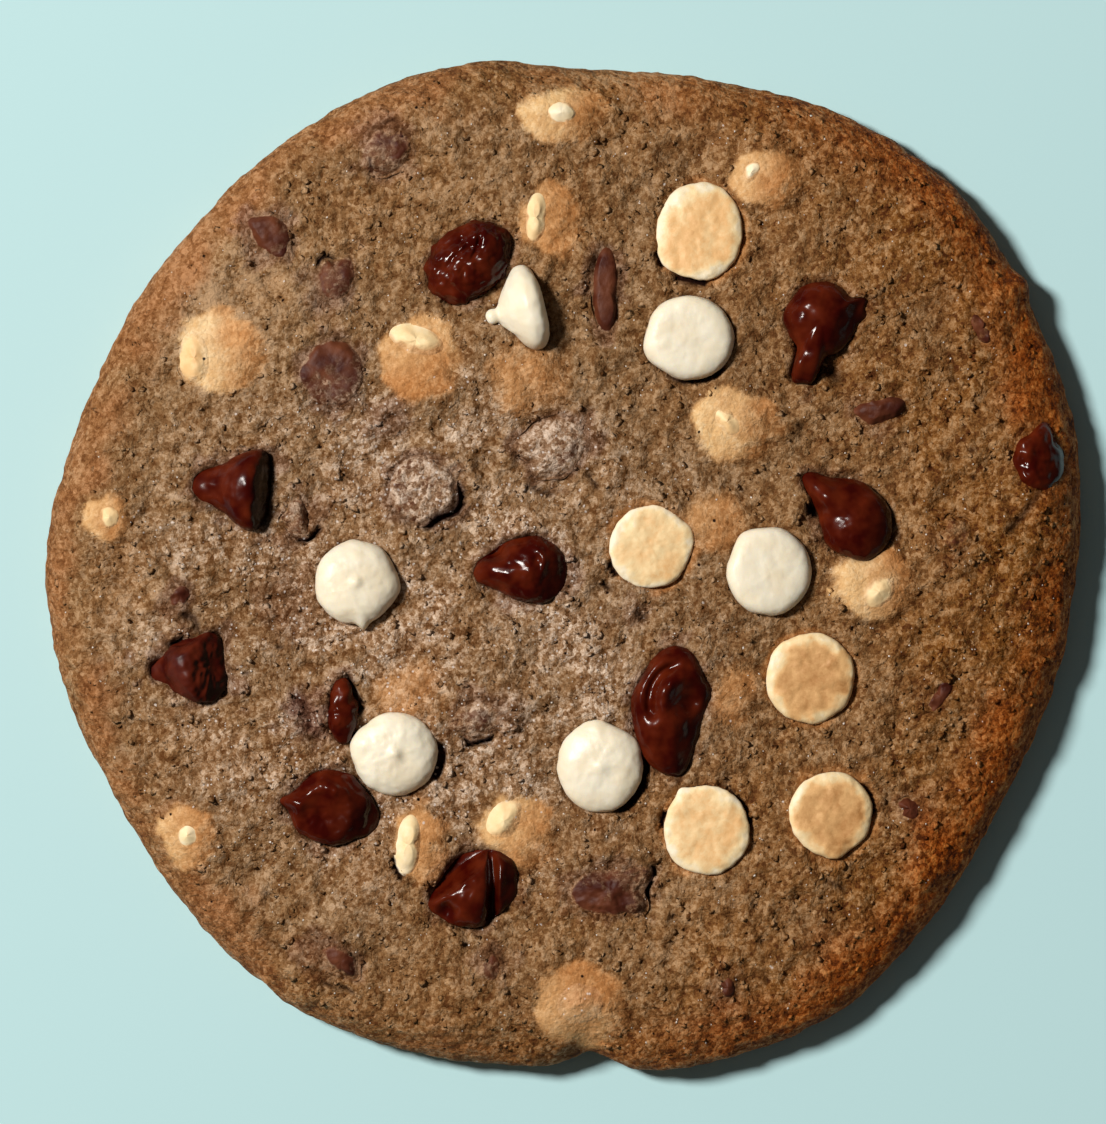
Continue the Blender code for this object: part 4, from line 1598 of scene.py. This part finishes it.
    def seat_height(self, x: Array, y: Array) -> Array:
        """How the chips change the dough's top.

        Inside a chip's outline the dough drops below the chip by an eased step, which starts further in
        where the dough runs on over the chip. Just outside lies a narrow moat, and round it a low lip that
        comes and goes along the outline.

        Args:
            x: Places along X, in millimetres.
            y: Places along Y.

        Returns:
            One height for each place, in millimetres, to be added to the top's own.
        """
        height = np.zeros_like(x)
        plane = np.column_stack((x, y))
        unevenness = layered_noise(plane, self.lip_size, 2, Seed.LIPS)
        for chip in self.chips():
            beyond = chip.beyond(x, y)
            near = beyond < 4.0
            gap = beyond[near]
            start = -min(1.0, 0.5 * min(chip.radii())) * (chip.blend > 0.0)
            inner = -min(2.2, chip.sunk * 0.7) * smooth_step(gap, start + 0.05, start - 0.9)
            moat = -chip.moat * bell(gap - 0.15, 0.4)
            lip = (chip.moat > 0.0) * (0.06 + 0.1 * unevenness[near]) * bell(gap - 1.0, 0.8)
            height[near] += inner + moat + lip - self.gap_depth * chip.gap_share(x[near], y[near])
        return height

    def smoothness(self, x: Array, y: Array) -> Array:
        """How smooth the top is over the white chips that it hides or half hides: from 0 to 1."""
        return np.max([mound.masks(x, y, np.zeros_like(x))[0] for mound in MOUNDS], axis=0)

    def relief(self, points: Array) -> Array:
        """Height of lumps, crumb, pits and cracks over the plain form, calmer at the rim and over chips.

        Args:
            points: The plain form's points, in millimetres.

        Returns:
            One height for each point, in millimetres.
        """
        plane = points[:, :2]
        inset = self.shape.inset(points[:, 0], points[:, 1])
        calm = 0.4 + 0.6 * smooth_step(inset, 1.0, 8.0)
        calm *= 1.0 - 0.8 * self.smoothness(points[:, 0], points[:, 1])
        height = self.lump_height * layered_noise(points, self.lump_size, 2, Seed.LUMPS)
        height += self.crumb_height * layered_noise(points, self.crumb_size, 2, Seed.CRUMB)
        height -= self.pit_depth * bell(self.pit_distance(plane), 0.4)
        height *= calm
        for x, y, radius, size, _ in COVERED_MOUNDS:
            height += size * bell(np.hypot(plane[:, 0] - x, plane[:, 1] - y), radius)
        for x, y in PIN_HOLES:
            height -= self.pin_depth * bell(np.hypot(plane[:, 0] - x, plane[:, 1] - y), 0.4)
        for crack in CRACKS:
            height -= crack.depth * bell(path_distance(plane, crack.path), crack.width)
        return height

    def pit_distance(self, plane: Array) -> Array:
        """Distance in the plane from each point to the nearest pit."""
        return scattered_distance(plane, self.pit_spacing, self.pit_share, Seed.PITS)

    def hot_side(self, x: Array, y: Array) -> Array:
        """How much each place lies on the side that baked hotter: from 0 to 1."""
        return (0.5 + 0.5 * np.cos(np.arctan2(y, x) - np.radians(self.hot_heading))) ** 1.4

    def browning(self, x: Array, y: Array) -> Array:
        """How brown the top is: from 0 in the middle to 1 near the rim on the hotter side."""
        return smooth_step(np.hypot(x, y), 10.0, 60.0) * (0.12 + 0.88 * self.hot_side(x, y))

    def level_relief(self, x: Array, y: Array) -> Array:
        """The top's relief at each place."""
        return self.relief(np.column_stack((x, y, self.shape.level(x, y))))

    def top_height(self, x: Array, y: Array) -> Array:
        """The height of the finished top at each place."""
        return self.shape.level(x, y) + self.level_relief(x, y) + self.seat_height(x, y)

    def gold_masks(self, x: Array, y: Array, drift: Array) -> tuple[Array, Array, Array]:
        """How golden, how cream-coloured and how much of a mound's painted shade each place gets.

        Args:
            x: Places along X, in millimetres.
            y: Places along Y.
            drift: Noise that moves the edges.

        Returns:
            Three arrays of shares from 0 to 1.
        """
        gold = cream = painted_shade = np.zeros_like(x)
        for mound in MOUNDS:
            parts = zip((gold, cream, painted_shade), mound.masks(x, y, drift), strict=True)
            gold, cream, painted_shade = (np.maximum(old, new) for old, new in parts)
        for chip in self.close_chips(self.pale_chips, x, y):
            if chip.halo > 0.0:
                halo = smooth_step(chip.beyond(x, y) + 0.3 * drift, chip.halo, 0.1)
                gold = np.maximum(gold, 0.6 * halo)
        # painted shade takes gold off the mounds' sides away from the key light
        return gold * (1.0 - 0.8 * painted_shade), cream, painted_shade

    def stain_mask(self, x: Array, y: Array, drift: Array) -> Array:
        """How far dark chips, shown or hidden, have stained each place.

        Args:
            x: Places along X, in millimetres.
            y: Places along Y.
            drift: Noise that moves the edges.

        Returns:
            A share from 0 to 1 for each place.
        """
        stain = np.zeros_like(x)
        for chip in self.close_chips((*self.dark_chips, *self.sunken_chips), x, y):
            stain = np.maximum(stain, 0.5 * smooth_step(chip.beyond(x, y) + 0.7 * drift, 1.4, 0.0))
        for mound_x, mound_y, radius, _, strength in COVERED_MOUNDS:
            far = np.hypot(x - mound_x, y - mound_y) + 0.8 * drift
            stain = np.maximum(stain, strength * smooth_step(far, radius * 1.2, radius * 0.4))
        return stain

    def shade_mask(self, plane: Array, crust: Array, gold: Array) -> Array:
        """How much painted shade darkens moats, gaps, cracks, pin holes and pits at each place.

        Args:
            plane: Rows of x and y, in millimetres.
            crust: The CRUST mask, where pits are fainter.
            gold: The GOLD mask, where there are none.

        Returns:
            A share from 0 to 1 for each place.
        """
        x, y = plane[:, 0], plane[:, 1]
        shade = np.zeros_like(x)
        for chip in self.close_chips(self.chips(), x, y):
            # painted shade in the moats and gaps round chips
            shade = np.maximum(shade, 0.3 * (chip.moat > 0.1) * bell(chip.beyond(x, y), 0.25))
            shade = np.maximum(shade, chip.gap_share(x, y))
        for crack in CRACKS:
            shade = np.maximum(shade, crack.shade * bell(path_distance(plane, crack.path), crack.width))
        for pin_x, pin_y in PIN_HOLES:
            shade = np.maximum(shade, 0.95 * bell(np.hypot(x - pin_x, y - pin_y), 0.38))
        pits = 0.4 * bell(self.pit_distance(plane), 0.36) * (1.0 - 0.6 * crust) * (1.0 - gold)
        return np.maximum(shade, pits)

    def masks(self, points: Array) -> dict[Mask, Array]:
        """Colour masks of the dough.

        CRUST rises towards the rim, BROWN towards the hotter side and ROAST at its rim. GOLD surrounds the
        white chips and the mounds over them, whose sides away from the key light are browned as painted
        shade,
        CREAM the thinly covered ones, and STAIN the dark chips. SUGAR marks the sugary middle, PALE dry
        patches, and SHADE paints shade into pits, cracks, moats, gaps and pin holes.

        Args:
            points: The plain form's points.

        Returns:
            One array for each mask.
        """
        x, y = points[:, 0], points[:, 1]
        wander = layered_noise(points, 8.0, 3, Seed.WANDER)
        drift = layered_noise(points, 2.6, 3, Seed.DRIFT)
        inset = self.shape.inset(x, y)
        crust = smooth_step(inset + 1.3 * wander + 0.5 * drift, 6.0, 0.5)
        brown = self.browning(x, y) + 0.1 * wander
        roast = smooth_step(inset + 1.0 * wander, 9.0, 0.5) * smooth_step(self.hot_side(x, y), 0.3, 0.85)
        gold, cream, painted_shade = self.gold_masks(x, y, drift)
        # painted shade: the mounds' sides away from the key light are browned
        brown = np.maximum(brown, 0.5 * painted_shade)
        sugar = 0.3 + 0.7 * smooth_step(layered_noise(points, 6.0, 3, Seed.SUGAR), -0.9, 1.0)
        sugar_x, sugar_y = self.sugar_middle
        sugar *= smooth_step(np.hypot(x - sugar_x, 1.1 * (y - sugar_y)), 44.0, 16.0)
        pale = np.full_like(x, 0.25)
        for patch_x, patch_y, radius, amount in PATCHES:
            pale += amount * bell(np.hypot(x - patch_x, y - patch_y), radius)
        return {
            Mask.CRUST: crust,
            Mask.BROWN: brown,
            Mask.ROAST: roast,
            Mask.GOLD: gold,
            Mask.CREAM: cream,
            Mask.STAIN: self.stain_mask(x, y, drift),
            Mask.SUGAR: sugar,
            Mask.SHADE: self.shade_mask(points[:, :2], crust, gold),
            Mask.PALE: pale,
        }

    def build(self) -> bpy.types.Object:
        """Make the dough's mesh, its masks and its finish.

        Returns:
            The piece.
        """
        points, outward, faces = self.layout()
        relief = self.relief(points)
        is_under = outward[:, 2] < -0.99
        relief = np.where(is_under, -0.25 * np.abs(relief), relief)
        moved = points + outward * relief[:, None]
        is_top = outward[:, 2] > 0.0
        seats = self.seat_height(points[:, 0], points[:, 1])
        moved[:, 2] += np.where(is_top, seats, 0.0)
        piece = make_piece("baked_dough", within_box(moved), faces)
        for name, values in self.masks(points).items():
            write_mask(piece, name.value, values)
        piece.data.materials.append(self.finish.material())
        return piece


@dataclass
class Grains:
    """Grains of one kind that lie half sunk in the dough's top, joined into one piece.

    Each grain is a double pyramid whose corners are moved in and out at random, flattened and turned.
    smallest and largest are their widths, flatness is a grain's height as a share of its width, sunk the
    share of that height below the dough's top, and sugary how much the grains keep to sugary patches.
    """

    name: str
    dough: Dough
    finish: BakedDough | Sugar
    count: int
    smallest: float
    largest: float
    flatness: float
    sunk: float
    sugary: float
    seed: int

    @staticmethod
    def flake() -> tuple[Array, Array]:
        """A double pyramid of radius 1 on a low ring of six corners.

        Returns:
            Its corners, and its faces as rows of three corner numbers.
        """
        turn = 2 * np.pi * np.arange(6) / 6
        ring = np.column_stack((np.cos(turn), np.sin(turn), np.full(6, -0.5)))
        corners = np.concatenate(([[0.0, 0.0, 1.0]], ring, [[0.0, 0.0, -1.0]]))
        first = np.arange(6)
        after = (first + 1) % 6
        upper = np.stack((np.zeros(6, int), 1 + first, 1 + after), axis=-1)
        lower = np.stack((np.full(6, 7), 1 + after, 1 + first), axis=-1)
        return corners, np.concatenate((upper, lower))

    def places(self, rng: np.random.Generator) -> tuple[Array, Array]:
        """Random places on the top, off the bare chips and out of the gaps.

        They lie closer together where slow noise is high, in the sugary patches by the share sugary, and
        further apart towards the rim.

        Args:
            rng: The source of random numbers.

        Returns:
            The places along X and along Y, in millimetres.
        """
        dough = self.dough
        angle = rng.uniform(0.0, 2 * np.pi, 6 * self.count)
        distance = np.sqrt(rng.uniform(0.0, 1.0, 6 * self.count)) * (dough.shape.outline(angle) - 1.5)
        x, y = distance * np.cos(angle), distance * np.sin(angle)
        plane = np.column_stack((x, y))
        masks = dough.masks(np.column_stack((x, y, dough.shape.level(x, y))))
        likely = 0.8 + 0.3 * layered_noise(plane, 3.0, 3, self.seed)
        likely *= 1.0 - self.sugary + self.sugary * masks[Mask.SUGAR]
        likely *= (1.0 - 0.6 * masks[Mask.CRUST]) * (1.0 - dough.smoothness(x, y))
        likely *= (1.0 - masks[Mask.CREAM]) * (masks[Mask.SHADE] < 0.5)
        for chip in dough.chips():
            likely *= chip.beyond(x, y) > 0.1 - 1.2 * chip.blend - 9.0 * (chip.film > 0.4)
        kept = np.flatnonzero(rng.uniform(0.0, 1.0, len(x)) < likely)[: self.count]
        return x[kept], y[kept]

    def build(self) -> bpy.types.Object:
        """Make the grains, with the dough's masks so that they look like the dough that they lie on.

        Returns:
            The piece.
        """
        rng = np.random.default_rng(self.seed)
        x, y = self.places(rng)
        corners, faces = self.flake()
        number, corner_count = len(x), len(corners)
        size = rng.uniform(0.0, 1.0, number) ** 1.5 * (self.largest - self.smallest) + self.smallest
        stretch = np.column_stack((rng.uniform(0.7, 1.3, (number, 2)), np.full(number, self.flatness)))
        lumps = corners * rng.uniform(0.65, 1.2, (number, corner_count, 1))
        lumps = lumps * (stretch * size[:, None] / 2.0)[:, None, :]
        turn = rng.uniform(0.0, 2 * np.pi, (number, 1))
        tilt = rng.normal(0.0, 0.1, (number, 1))
        height = lumps[:, :, 2] * np.cos(tilt) - lumps[:, :, 0] * np.sin(tilt)
        along = lumps[:, :, 0] * np.cos(tilt) + lumps[:, :, 2] * np.sin(tilt)
        across = lumps[:, :, 1]
        rise = self.flatness * size * (0.5 - self.sunk)
        points = np.stack(
            (
                along * np.cos(turn) - across * np.sin(turn) + x[:, None],
                along * np.sin(turn) + across * np.cos(turn) + y[:, None],
                height + (self.dough.top_height(x, y) + rise)[:, None],
            ),
            axis=-1,
        ).reshape(-1, 3)
        every = (faces[None] + corner_count * np.arange(number)[:, None, None]).reshape(-1, 3)
        piece = make_piece(self.name, within_box(points), [every], smooth=False)
        masks = self.dough.masks(np.column_stack((x, y, self.dough.shape.level(x, y))))
        masks[Mask.SHADE] = np.zeros(number)
        masks[Mask.PALE] = rng.uniform(0.0, 1.0, number)
        for name, values in masks.items():
            write_mask(piece, name.value, np.repeat(values, corner_count))
        piece.data.materials.append(self.finish.material())
        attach(piece, BODY)
        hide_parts("dough")
        LOG.info("%s lies on dough, %d grains", piece.name, number)
        return piece


@dataclass
class ChipFamily:
    """Chips of one kind, which share a finish and replace the nodes of one name."""

    node: str
    piece: str
    slot: str
    chips: tuple[Chip, ...]
    finish: WhiteChocolate | ToastedWhiteChocolate | DarkChocolate
    dough: Dough
    seed: int
    rows: int = 60
    columns: int = 112
    facet_edge: float = 0.6
    # the heading away from the key light, towards which the chips get painted shade
    painted_shade_heading: float = -20.0

    def section(self, chip: Chip) -> tuple[Array, Array]:
        """The chip's section, top pole to bottom pole, as shares of its radius and of its heights.

        A flat or melted chip's top is a superellipse, a drop has a narrow tip on it, and the lower half is
        a rounder superellipse. The points are spaced evenly along the curve.

        Args:
            chip: The chip.

        Returns:
            The distance from the axis and the height of each point, as shares.
        """
        dense = 800
        if chip.form is Form.LYING:
            along = (1.0 - np.cos(np.linspace(0.0, np.pi, dense))) / 2.0
            radius, height = chip.drop_radius(along), 1.0 - 2.0 * along
        else:
            turn = np.linspace(0.0, np.pi, dense)
            radius = np.sin(turn)
            if chip.form is Form.FLAT:
                top = (1.0 - radius**8) ** 0.45 * (1.0 - 0.1 * radius**2)
            elif chip.form is Form.DROP:
                top = 0.86 * (1.0 - radius**3.2) ** 0.5 + 0.14 * bell(radius, 0.14)
            elif chip.form is Form.LUMP:
                top = (1.0 - radius**2.4) ** 0.62
            else:
                top = (1.0 - radius**2.0) ** 1.5
            height = np.where(turn < np.pi / 2, top, -((1.0 - radius**2.4) ** 0.6))
        step = np.hypot(np.diff(radius), np.diff(height))
        length = np.concatenate(([0.0], np.cumsum(step)))
        even = np.linspace(0.0, length[-1], self.rows + 2)
        return np.interp(even, length, radius), np.interp(even, length, height)

    def unit_points(self, chip: Chip) -> Array:
        """The section carried round the axis, as pole, rings and pole. A chip on its side is tipped over.

        Args:
            chip: The chip.

        Returns:
            Points from -1 to 1 along each axis.
        """
        radius, height = self.section(chip)
        angle = 2 * np.pi * np.arange(self.columns) / self.columns
        rings = np.stack(
            (
                radius[1:-1, None] * np.cos(angle),
                radius[1:-1, None] * np.sin(angle),
                np.broadcast_to(height[1:-1, None], (self.rows, self.columns)),
            ),
            axis=-1,
        ).reshape(-1, 3)
        points = np.concatenate(([[0.0, 0.0, height[0]]], rings, [[0.0, 0.0, height[-1]]]))
        if chip.form is not Form.LYING:
            return points
        tilt = np.radians(chip.tilt)
        x = points[:, 0] * np.cos(tilt) + points[:, 2] * np.sin(tilt)
        z = points[:, 2] * np.cos(tilt) - points[:, 0] * np.sin(tilt)
        tipped = np.column_stack((x, points[:, 1], z))
        low, high = tipped.min(axis=0), tipped.max(axis=0)
        return (tipped - low) / (high - low) * 2.0 - 1.0

    def marked(self, chip: Chip, points: Array) -> Array:
        """Press the chip's dents, folds and facets into its points.

        A facet's edge is rounded over facet_edge each way.

        Args:
            chip: The chip.
            points: Its points, in millimetres from its middle at the dough's height.

        Returns:
            The points as they lie then.
        """
        x, y, z = points.T.copy()
        on_top = smooth_step(z, 0.0, 0.35 * chip.proud)
        for mark in chip.marks:
            if isinstance(mark, Dent):
                z = z - on_top * mark.depth * bell(np.hypot(x - mark.x, y - mark.y), mark.radius)
            elif isinstance(mark, Fold):
                angle = np.arctan2(y - mark.y, x - mark.x)
                middle, half = (mark.start + mark.end) / 2.0, (mark.end - mark.start) / 2.0
                ease = min(14.0, 0.5 * half)
                ends = smooth_step(np.abs(degrees_between(angle, middle)), half + ease, half - ease)
                off = np.hypot(x - mark.x, y - mark.y) - mark.radius
                z = z - on_top * ends * mark.depth * bell(off, mark.width)
            else:
                heading = np.radians(mark.heading)
                out = x * np.cos(heading) + y * np.sin(heading) + mark.slope * z - mark.distance
                rounded = (out + self.facet_edge) ** 2 / (4.0 * self.facet_edge)
                excess = np.where(np.abs(out) < self.facet_edge, rounded, np.maximum(out, 0.0))
                excess = np.where(z > -0.5, excess, 0.0) / (1.0 + mark.slope**2)
                x, y = x - excess * np.cos(heading), y - excess * np.sin(heading)
                z = z - excess * mark.slope
        return np.column_stack((x, y, z))

    def chip_points(self, chip: Chip, unit: Array) -> Array:
        """The chip's points in the cookie's frame.

        The unit form is stretched to the chip's widths and heights, its outline is drawn out, it is turned
        to its heading, marked and wrinkled by noise, and set on the slope that the dough has at its middle.

        Args:
            chip: The chip.
            unit: Its unit form.

        Returns:
            One row for each point, in millimetres.
        """
        long_half, short_half = chip.radii()
        depth = np.where(unit[:, 2] > 0.0, chip.proud, chip.sunk)
        along, across = unit[:, 0] * long_half, unit[:, 1] * short_half
        turn = np.radians(chip.turn)
        x = along * np.cos(turn) - across * np.sin(turn)
        y = along * np.sin(turn) + across * np.cos(turn)
        stretch = chip.stretch(np.arctan2(y, x)) - 1.0
        if chip.form in (Form.FLAT, Form.DROP):
            stretch = stretch * np.hypot(unit[:, 0], unit[:, 1]) ** 4
        stretch = 1.0 + stretch
        points = self.marked(chip, np.column_stack((x * stretch, y * stretch, unit[:, 2] * depth)))
        away = points / np.array((long_half**2, short_half**2, max(chip.proud, 1.0) ** 2))
        away /= np.linalg.norm(away, axis=1)[:, None] + 1e-9
        noise_seed = self.seed + 17 * self.chips.index(chip)
        wrinkles = layered_noise(points, chip.wrinkle_size, 3, noise_seed)
        points = points + away * (chip.wrinkle * wrinkles)[:, None]
        step = 0.35 * chip.width
        level = self.dough.shape.level_at
        slope_x = (level(chip.x + step, chip.y) - level(chip.x - step, chip.y)) / (2 * step)
        slope_y = (level(chip.x, chip.y + step) - level(chip.x, chip.y - step)) / (2 * step)
        lean = slope_x * points[:, 0] + slope_y * points[:, 1] + level(chip.x, chip.y)
        points[:, 0] += chip.x
        points[:, 1] += chip.y
        points[:, 2] = points[:, 2] + lean if chip.blend == 0.0 else self.covered_height(chip, points, lean)
        return points

    def covered_height(self, chip: Chip, points: Array, lean: Array) -> Array:
        """The heights of a chip over whose edge the dough runs on.

        Its top rises softly out of the dough's own height and relief.

        Args:
            chip: The chip.
            points: Its points, in the cookie's frame but for their heights, which are from the dough's.
            lean: The height of the dough's slope below each point.

        Returns:
            One height for each point, in millimetres.
        """
        x, y = points[:, 0], points[:, 1]
        top = smooth_step(points[:, 2], -0.3, 0.0)
        inside = -chip.beyond(x, y)
        lean = np.minimum(lean, self.dough.shape.level(x, y))
        cover = self.dough.shape.level(x, y) + self.dough.level_relief(x, y)
        fold = 0.3 - 0.2 * self.dough.smoothness(x, y)
        cover += fold * (smooth_step(inside, 0.0, 0.8) - 0.8)
        rise = points[:, 2] + lean - cover
        shown = smooth_step(inside, 0.0, chip.blend + 0.8) * (rise + np.hypot(rise, 0.3)) / 2.0
        return (1.0 - top) * (points[:, 2] + lean) + top * (cover + shown)

    def masks(self, chip: Chip, points: Array) -> dict[Mask, Array]:
        """The chip's masks.

        TOAST is strongest in the middle of the top and weakest to the upper left, towards the key light,
        which is partly painted light. FILM grows towards the outline, where the dough runs on over the chip,
        and towards film_heading. With a film come the dough's own masks, so that the film looks like the
        dough beside it.

        Args:
            chip: The chip.
            points: Its points.

        Returns:
            One array for each mask.
        """
        x, y = points[:, 0], points[:, 1]
        drift = layered_noise(points, 2.2, 3, self.seed + 900 + self.chips.index(chip))
        inside = -chip.beyond(x, y)
        share = inside / min(chip.radii())
        toast = chip.toast * (0.3 + 0.7 * smooth_step(share + 0.08 * drift, 0.02, 0.36))
        # partly painted light: paler towards the upper left, where the key light falls
        toast = toast - 0.1 * chip.side(x, y, 150.0) * chip.toast
        film = chip.film + 0.1 * drift * (chip.film > 0.0)
        if chip.blend > 0.0:
            film = film + smooth_step(inside + 0.2 * drift, chip.blend, 0.0)
        if chip.film_heading is not None:
            film = film + chip.film_reach * chip.side(x, y, chip.film_heading)
        masks = {Mask.TOAST: toast, Mask.FILM: film, Mask.DULL: np.full(len(x), chip.dull)}
        if film.max() > 0.0:
            masks |= self.dough.masks(np.column_stack((x, y, self.dough.shape.level(x, y))))
            over = float(smooth_step(np.array(chip.film), 0.25, 0.6)) * smooth_step(inside, 0.0, 1.0)
            masks[Mask.SUGAR] = np.maximum(masks[Mask.SUGAR], over)
            masks[Mask.PALE] = masks[Mask.PALE] + 0.3 * over
            masks[Mask.STAIN] = masks[Mask.STAIN] * (1.0 - 0.6 * over)
        return masks

    def painted_shade(self, chip: Chip, piece: bpy.types.Object, points: Array) -> Array:
        """How much painted shade each vertex of a piece gets, away from the key light at the upper left.

        On a chip on its side this is how far it faces away from the light, on others how far it lies
        towards that side.

        Args:
            chip: The chip.
            piece: Its mesh object.
            points: Its points, in millimetres.

        Returns:
            A share from 0 to 1 for each point.
        """
        if chip.form is not Form.LYING:
            return 0.7 * smooth_step(chip.side(points[:, 0], points[:, 1], self.painted_shade_heading), -0.2, 1.0)
        normals = np.empty(3 * len(piece.data.vertices), np.float32)
        piece.data.vertex_normals.foreach_get("vector", normals)
        x, y, _ = normals.reshape(-1, 3).T
        heading = np.radians(self.painted_shade_heading)
        return smooth_step(x * np.cos(heading) + y * np.sin(heading), 0.45, 0.7)

    def build(self) -> list[bpy.types.Object]:
        """Make every chip of the family, each standing for its own node.

        Returns:
            The pieces, in the order of their nodes.
        """
        material = self.finish.material()
        pieces = []
        for number, chip in enumerate(self.chips, start=1):
            points = within_box(self.chip_points(chip, self.unit_points(chip)))
            piece = make_piece(f"{self.piece}_{number:02d}", points, turned_faces(self.rows, self.columns))
            for name, values in self.masks(chip, points).items():
                write_mask(piece, name.value, values)
            # painted shade on each chip's side away from the key light
            write_mask(piece, Mask.PAINTED_SHADE.value, self.painted_shade(chip, piece, points))
            piece.data.materials.append(material)
            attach(piece, BODY)
            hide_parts(f"{self.node}_{number:02d}")
            LOG.info("%s stands for %s_%02d", piece.name, self.node, number)
            pieces.append(piece)
        return pieces


@dataclass
class Studio:
    """A pale floor, soft lights and a camera straight above, as in the photograph."""

    floor_finish: PaintedBoard = PaintedBoard()
    floor_size: float = 1400.0
    camera_height: float = 1200.0
    sensor: float = 36.0
    focus_level: float = 6.0
    nearest: float = 10.0
    farthest: float = 10000.0
    key_heading: float = 155.0
    key_elevation: float = 50.0
    key_distance: float = 1600.0
    key_size: float = 330.0
    key_power: float = 30.3
    key_colour: tuple[float, float, float] = (1.0, 0.955, 0.905)
    fill_strength: float = 0.055

    def build_floor(self) -> bpy.types.Object:
        """A plain pale floor, just below the cookie.

        Returns:
            The floor.
        """
        half = self.floor_size / 2.0
        corners = np.array([(-half, -half, 0.0), (half, -half, 0.0), (half, half, 0.0), (-half, half, 0.0)])
        floor = make_piece("pale_floor", corners, [np.array([[0, 1, 2, 3]])])
        floor.data.materials.append(self.floor_finish.material())
        return floor

    def build_lights(self) -> None:
        """A soft key light from the upper left and an even, weak fill from all round."""
        data = bpy.data.lights.new("key_light", "AREA")
        data.shape = "DISK"
        data.size = self.key_size * MM
        data.energy = self.key_power
        data.color = self.key_colour
        key = bpy.data.objects.new("key_light", data)
        bpy.context.scene.collection.objects.link(key)
        heading, elevation = np.radians(self.key_heading), np.radians(self.key_elevation)
        level = np.cos(elevation)
        towards = (level * np.cos(heading), level * np.sin(heading), np.sin(elevation))
        key.location = tuple(self.key_distance * MM * part for part in towards)
        key.rotation_euler = key.location.to_track_quat("Z", "Y").to_euler()
        world = bpy.data.worlds.new("studio")
        world.use_nodes = True
        background = world.node_tree.nodes["Background"]
        background.inputs["Color"].default_value = (*self.key_colour, 1.0)
        background.inputs["Strength"].default_value = self.fill_strength
        bpy.context.scene.world = world

    def build_camera(self) -> bpy.types.Object:
        """A camera straight above, framed as the photograph.

        Its lens makes the photograph's long side fit the sensor at focus_level, and it stands off the
        cookie's middle by as much as the frame's middle does.

        Returns:
            The camera.
        """
        data = bpy.data.cameras.new("camera")
        data.sensor_width = self.sensor
        data.lens = self.sensor * (self.camera_height - self.focus_level) / (PHOTO_HEIGHT * MM_PER_PIXEL)
        data.clip_start = self.nearest * MM
        data.clip_end = self.farthest * MM
        camera = bpy.data.objects.new("camera", data)
        x = (PHOTO_WIDTH / 2.0 - COOKIE_PIXEL_X) * MM_PER_PIXEL
        y = (COOKIE_PIXEL_Y - PHOTO_HEIGHT / 2.0) * MM_PER_PIXEL
        camera.location = (x * MM, y * MM, self.camera_height * MM)
        bpy.context.scene.collection.objects.link(camera)
        bpy.context.scene.camera = camera
        return camera

    def build(self) -> None:
        """Floor, lights and camera, and colours shown as they are."""
        self.build_floor()
        self.build_lights()
        self.build_camera()
        bpy.context.scene.view_settings.view_transform = "Standard"


def main() -> None:
    """Build the dough, the four families of chips and the studio, in that order."""
    logging.basicConfig(level=logging.INFO, format="%(message)s")
    shape = DoughShape()
    dough = Dough(shape, BAKED_CHIPS, WHITE_CHIPS, DARK_CHIPS, SUNKEN_CHIPS)
    base = dough.build()
    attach(base, BODY)
    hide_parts("dough")
    LOG.info("%s stands for dough", base.name)
    for grains in (
        Grains(
            "dough_flakes", dough, dough.finish, count=3500, smallest=0.4, largest=1.1, flatness=0.16,
            sunk=0.6, sugary=0.3, seed=Seed.FLAKES,
        ),
        Grains(
            "sugar_grains", dough, Sugar(), count=900, smallest=0.2, largest=0.36, flatness=0.7,
            sunk=0.4, sugary=0.6, seed=Seed.SUGAR_GRAINS,
        ),
    ):
        grains.build()
    # the filmed chips' painted shade is a milder dark brown
    dull = DarkChocolate(
        "filmed_dark_chocolate", deep="#42170A", lit="#6E3C24", shaded="#3A1710", roughness=0.5, grit=0.15
    )
    for family in (
        ChipFamily(
            "white_chip", "white_drop", "white_chocolate", WHITE_CHIPS, WhiteChocolate(), dough,
            Seed.WHITE_CHIPS,
        ),
        ChipFamily(
            "baked_chip", "toasted_drop", "baked_white_chocolate", BAKED_CHIPS, ToastedWhiteChocolate(),
            dough, Seed.BAKED_CHIPS,
        ),
        ChipFamily(
            "dark_chip", "glossy_drop", "glossy_dark_chocolate", DARK_CHIPS, DarkChocolate(), dough,
            Seed.DARK_CHIPS,
        ),
        ChipFamily(
            "sunken_chip", "dull_drop", "dull_dark_chocolate", SUNKEN_CHIPS, dull, dough, Seed.SUNKEN_CHIPS
        ),
    ):
        family.build()
    Studio().build()


if __name__ == "__main__":
    main()
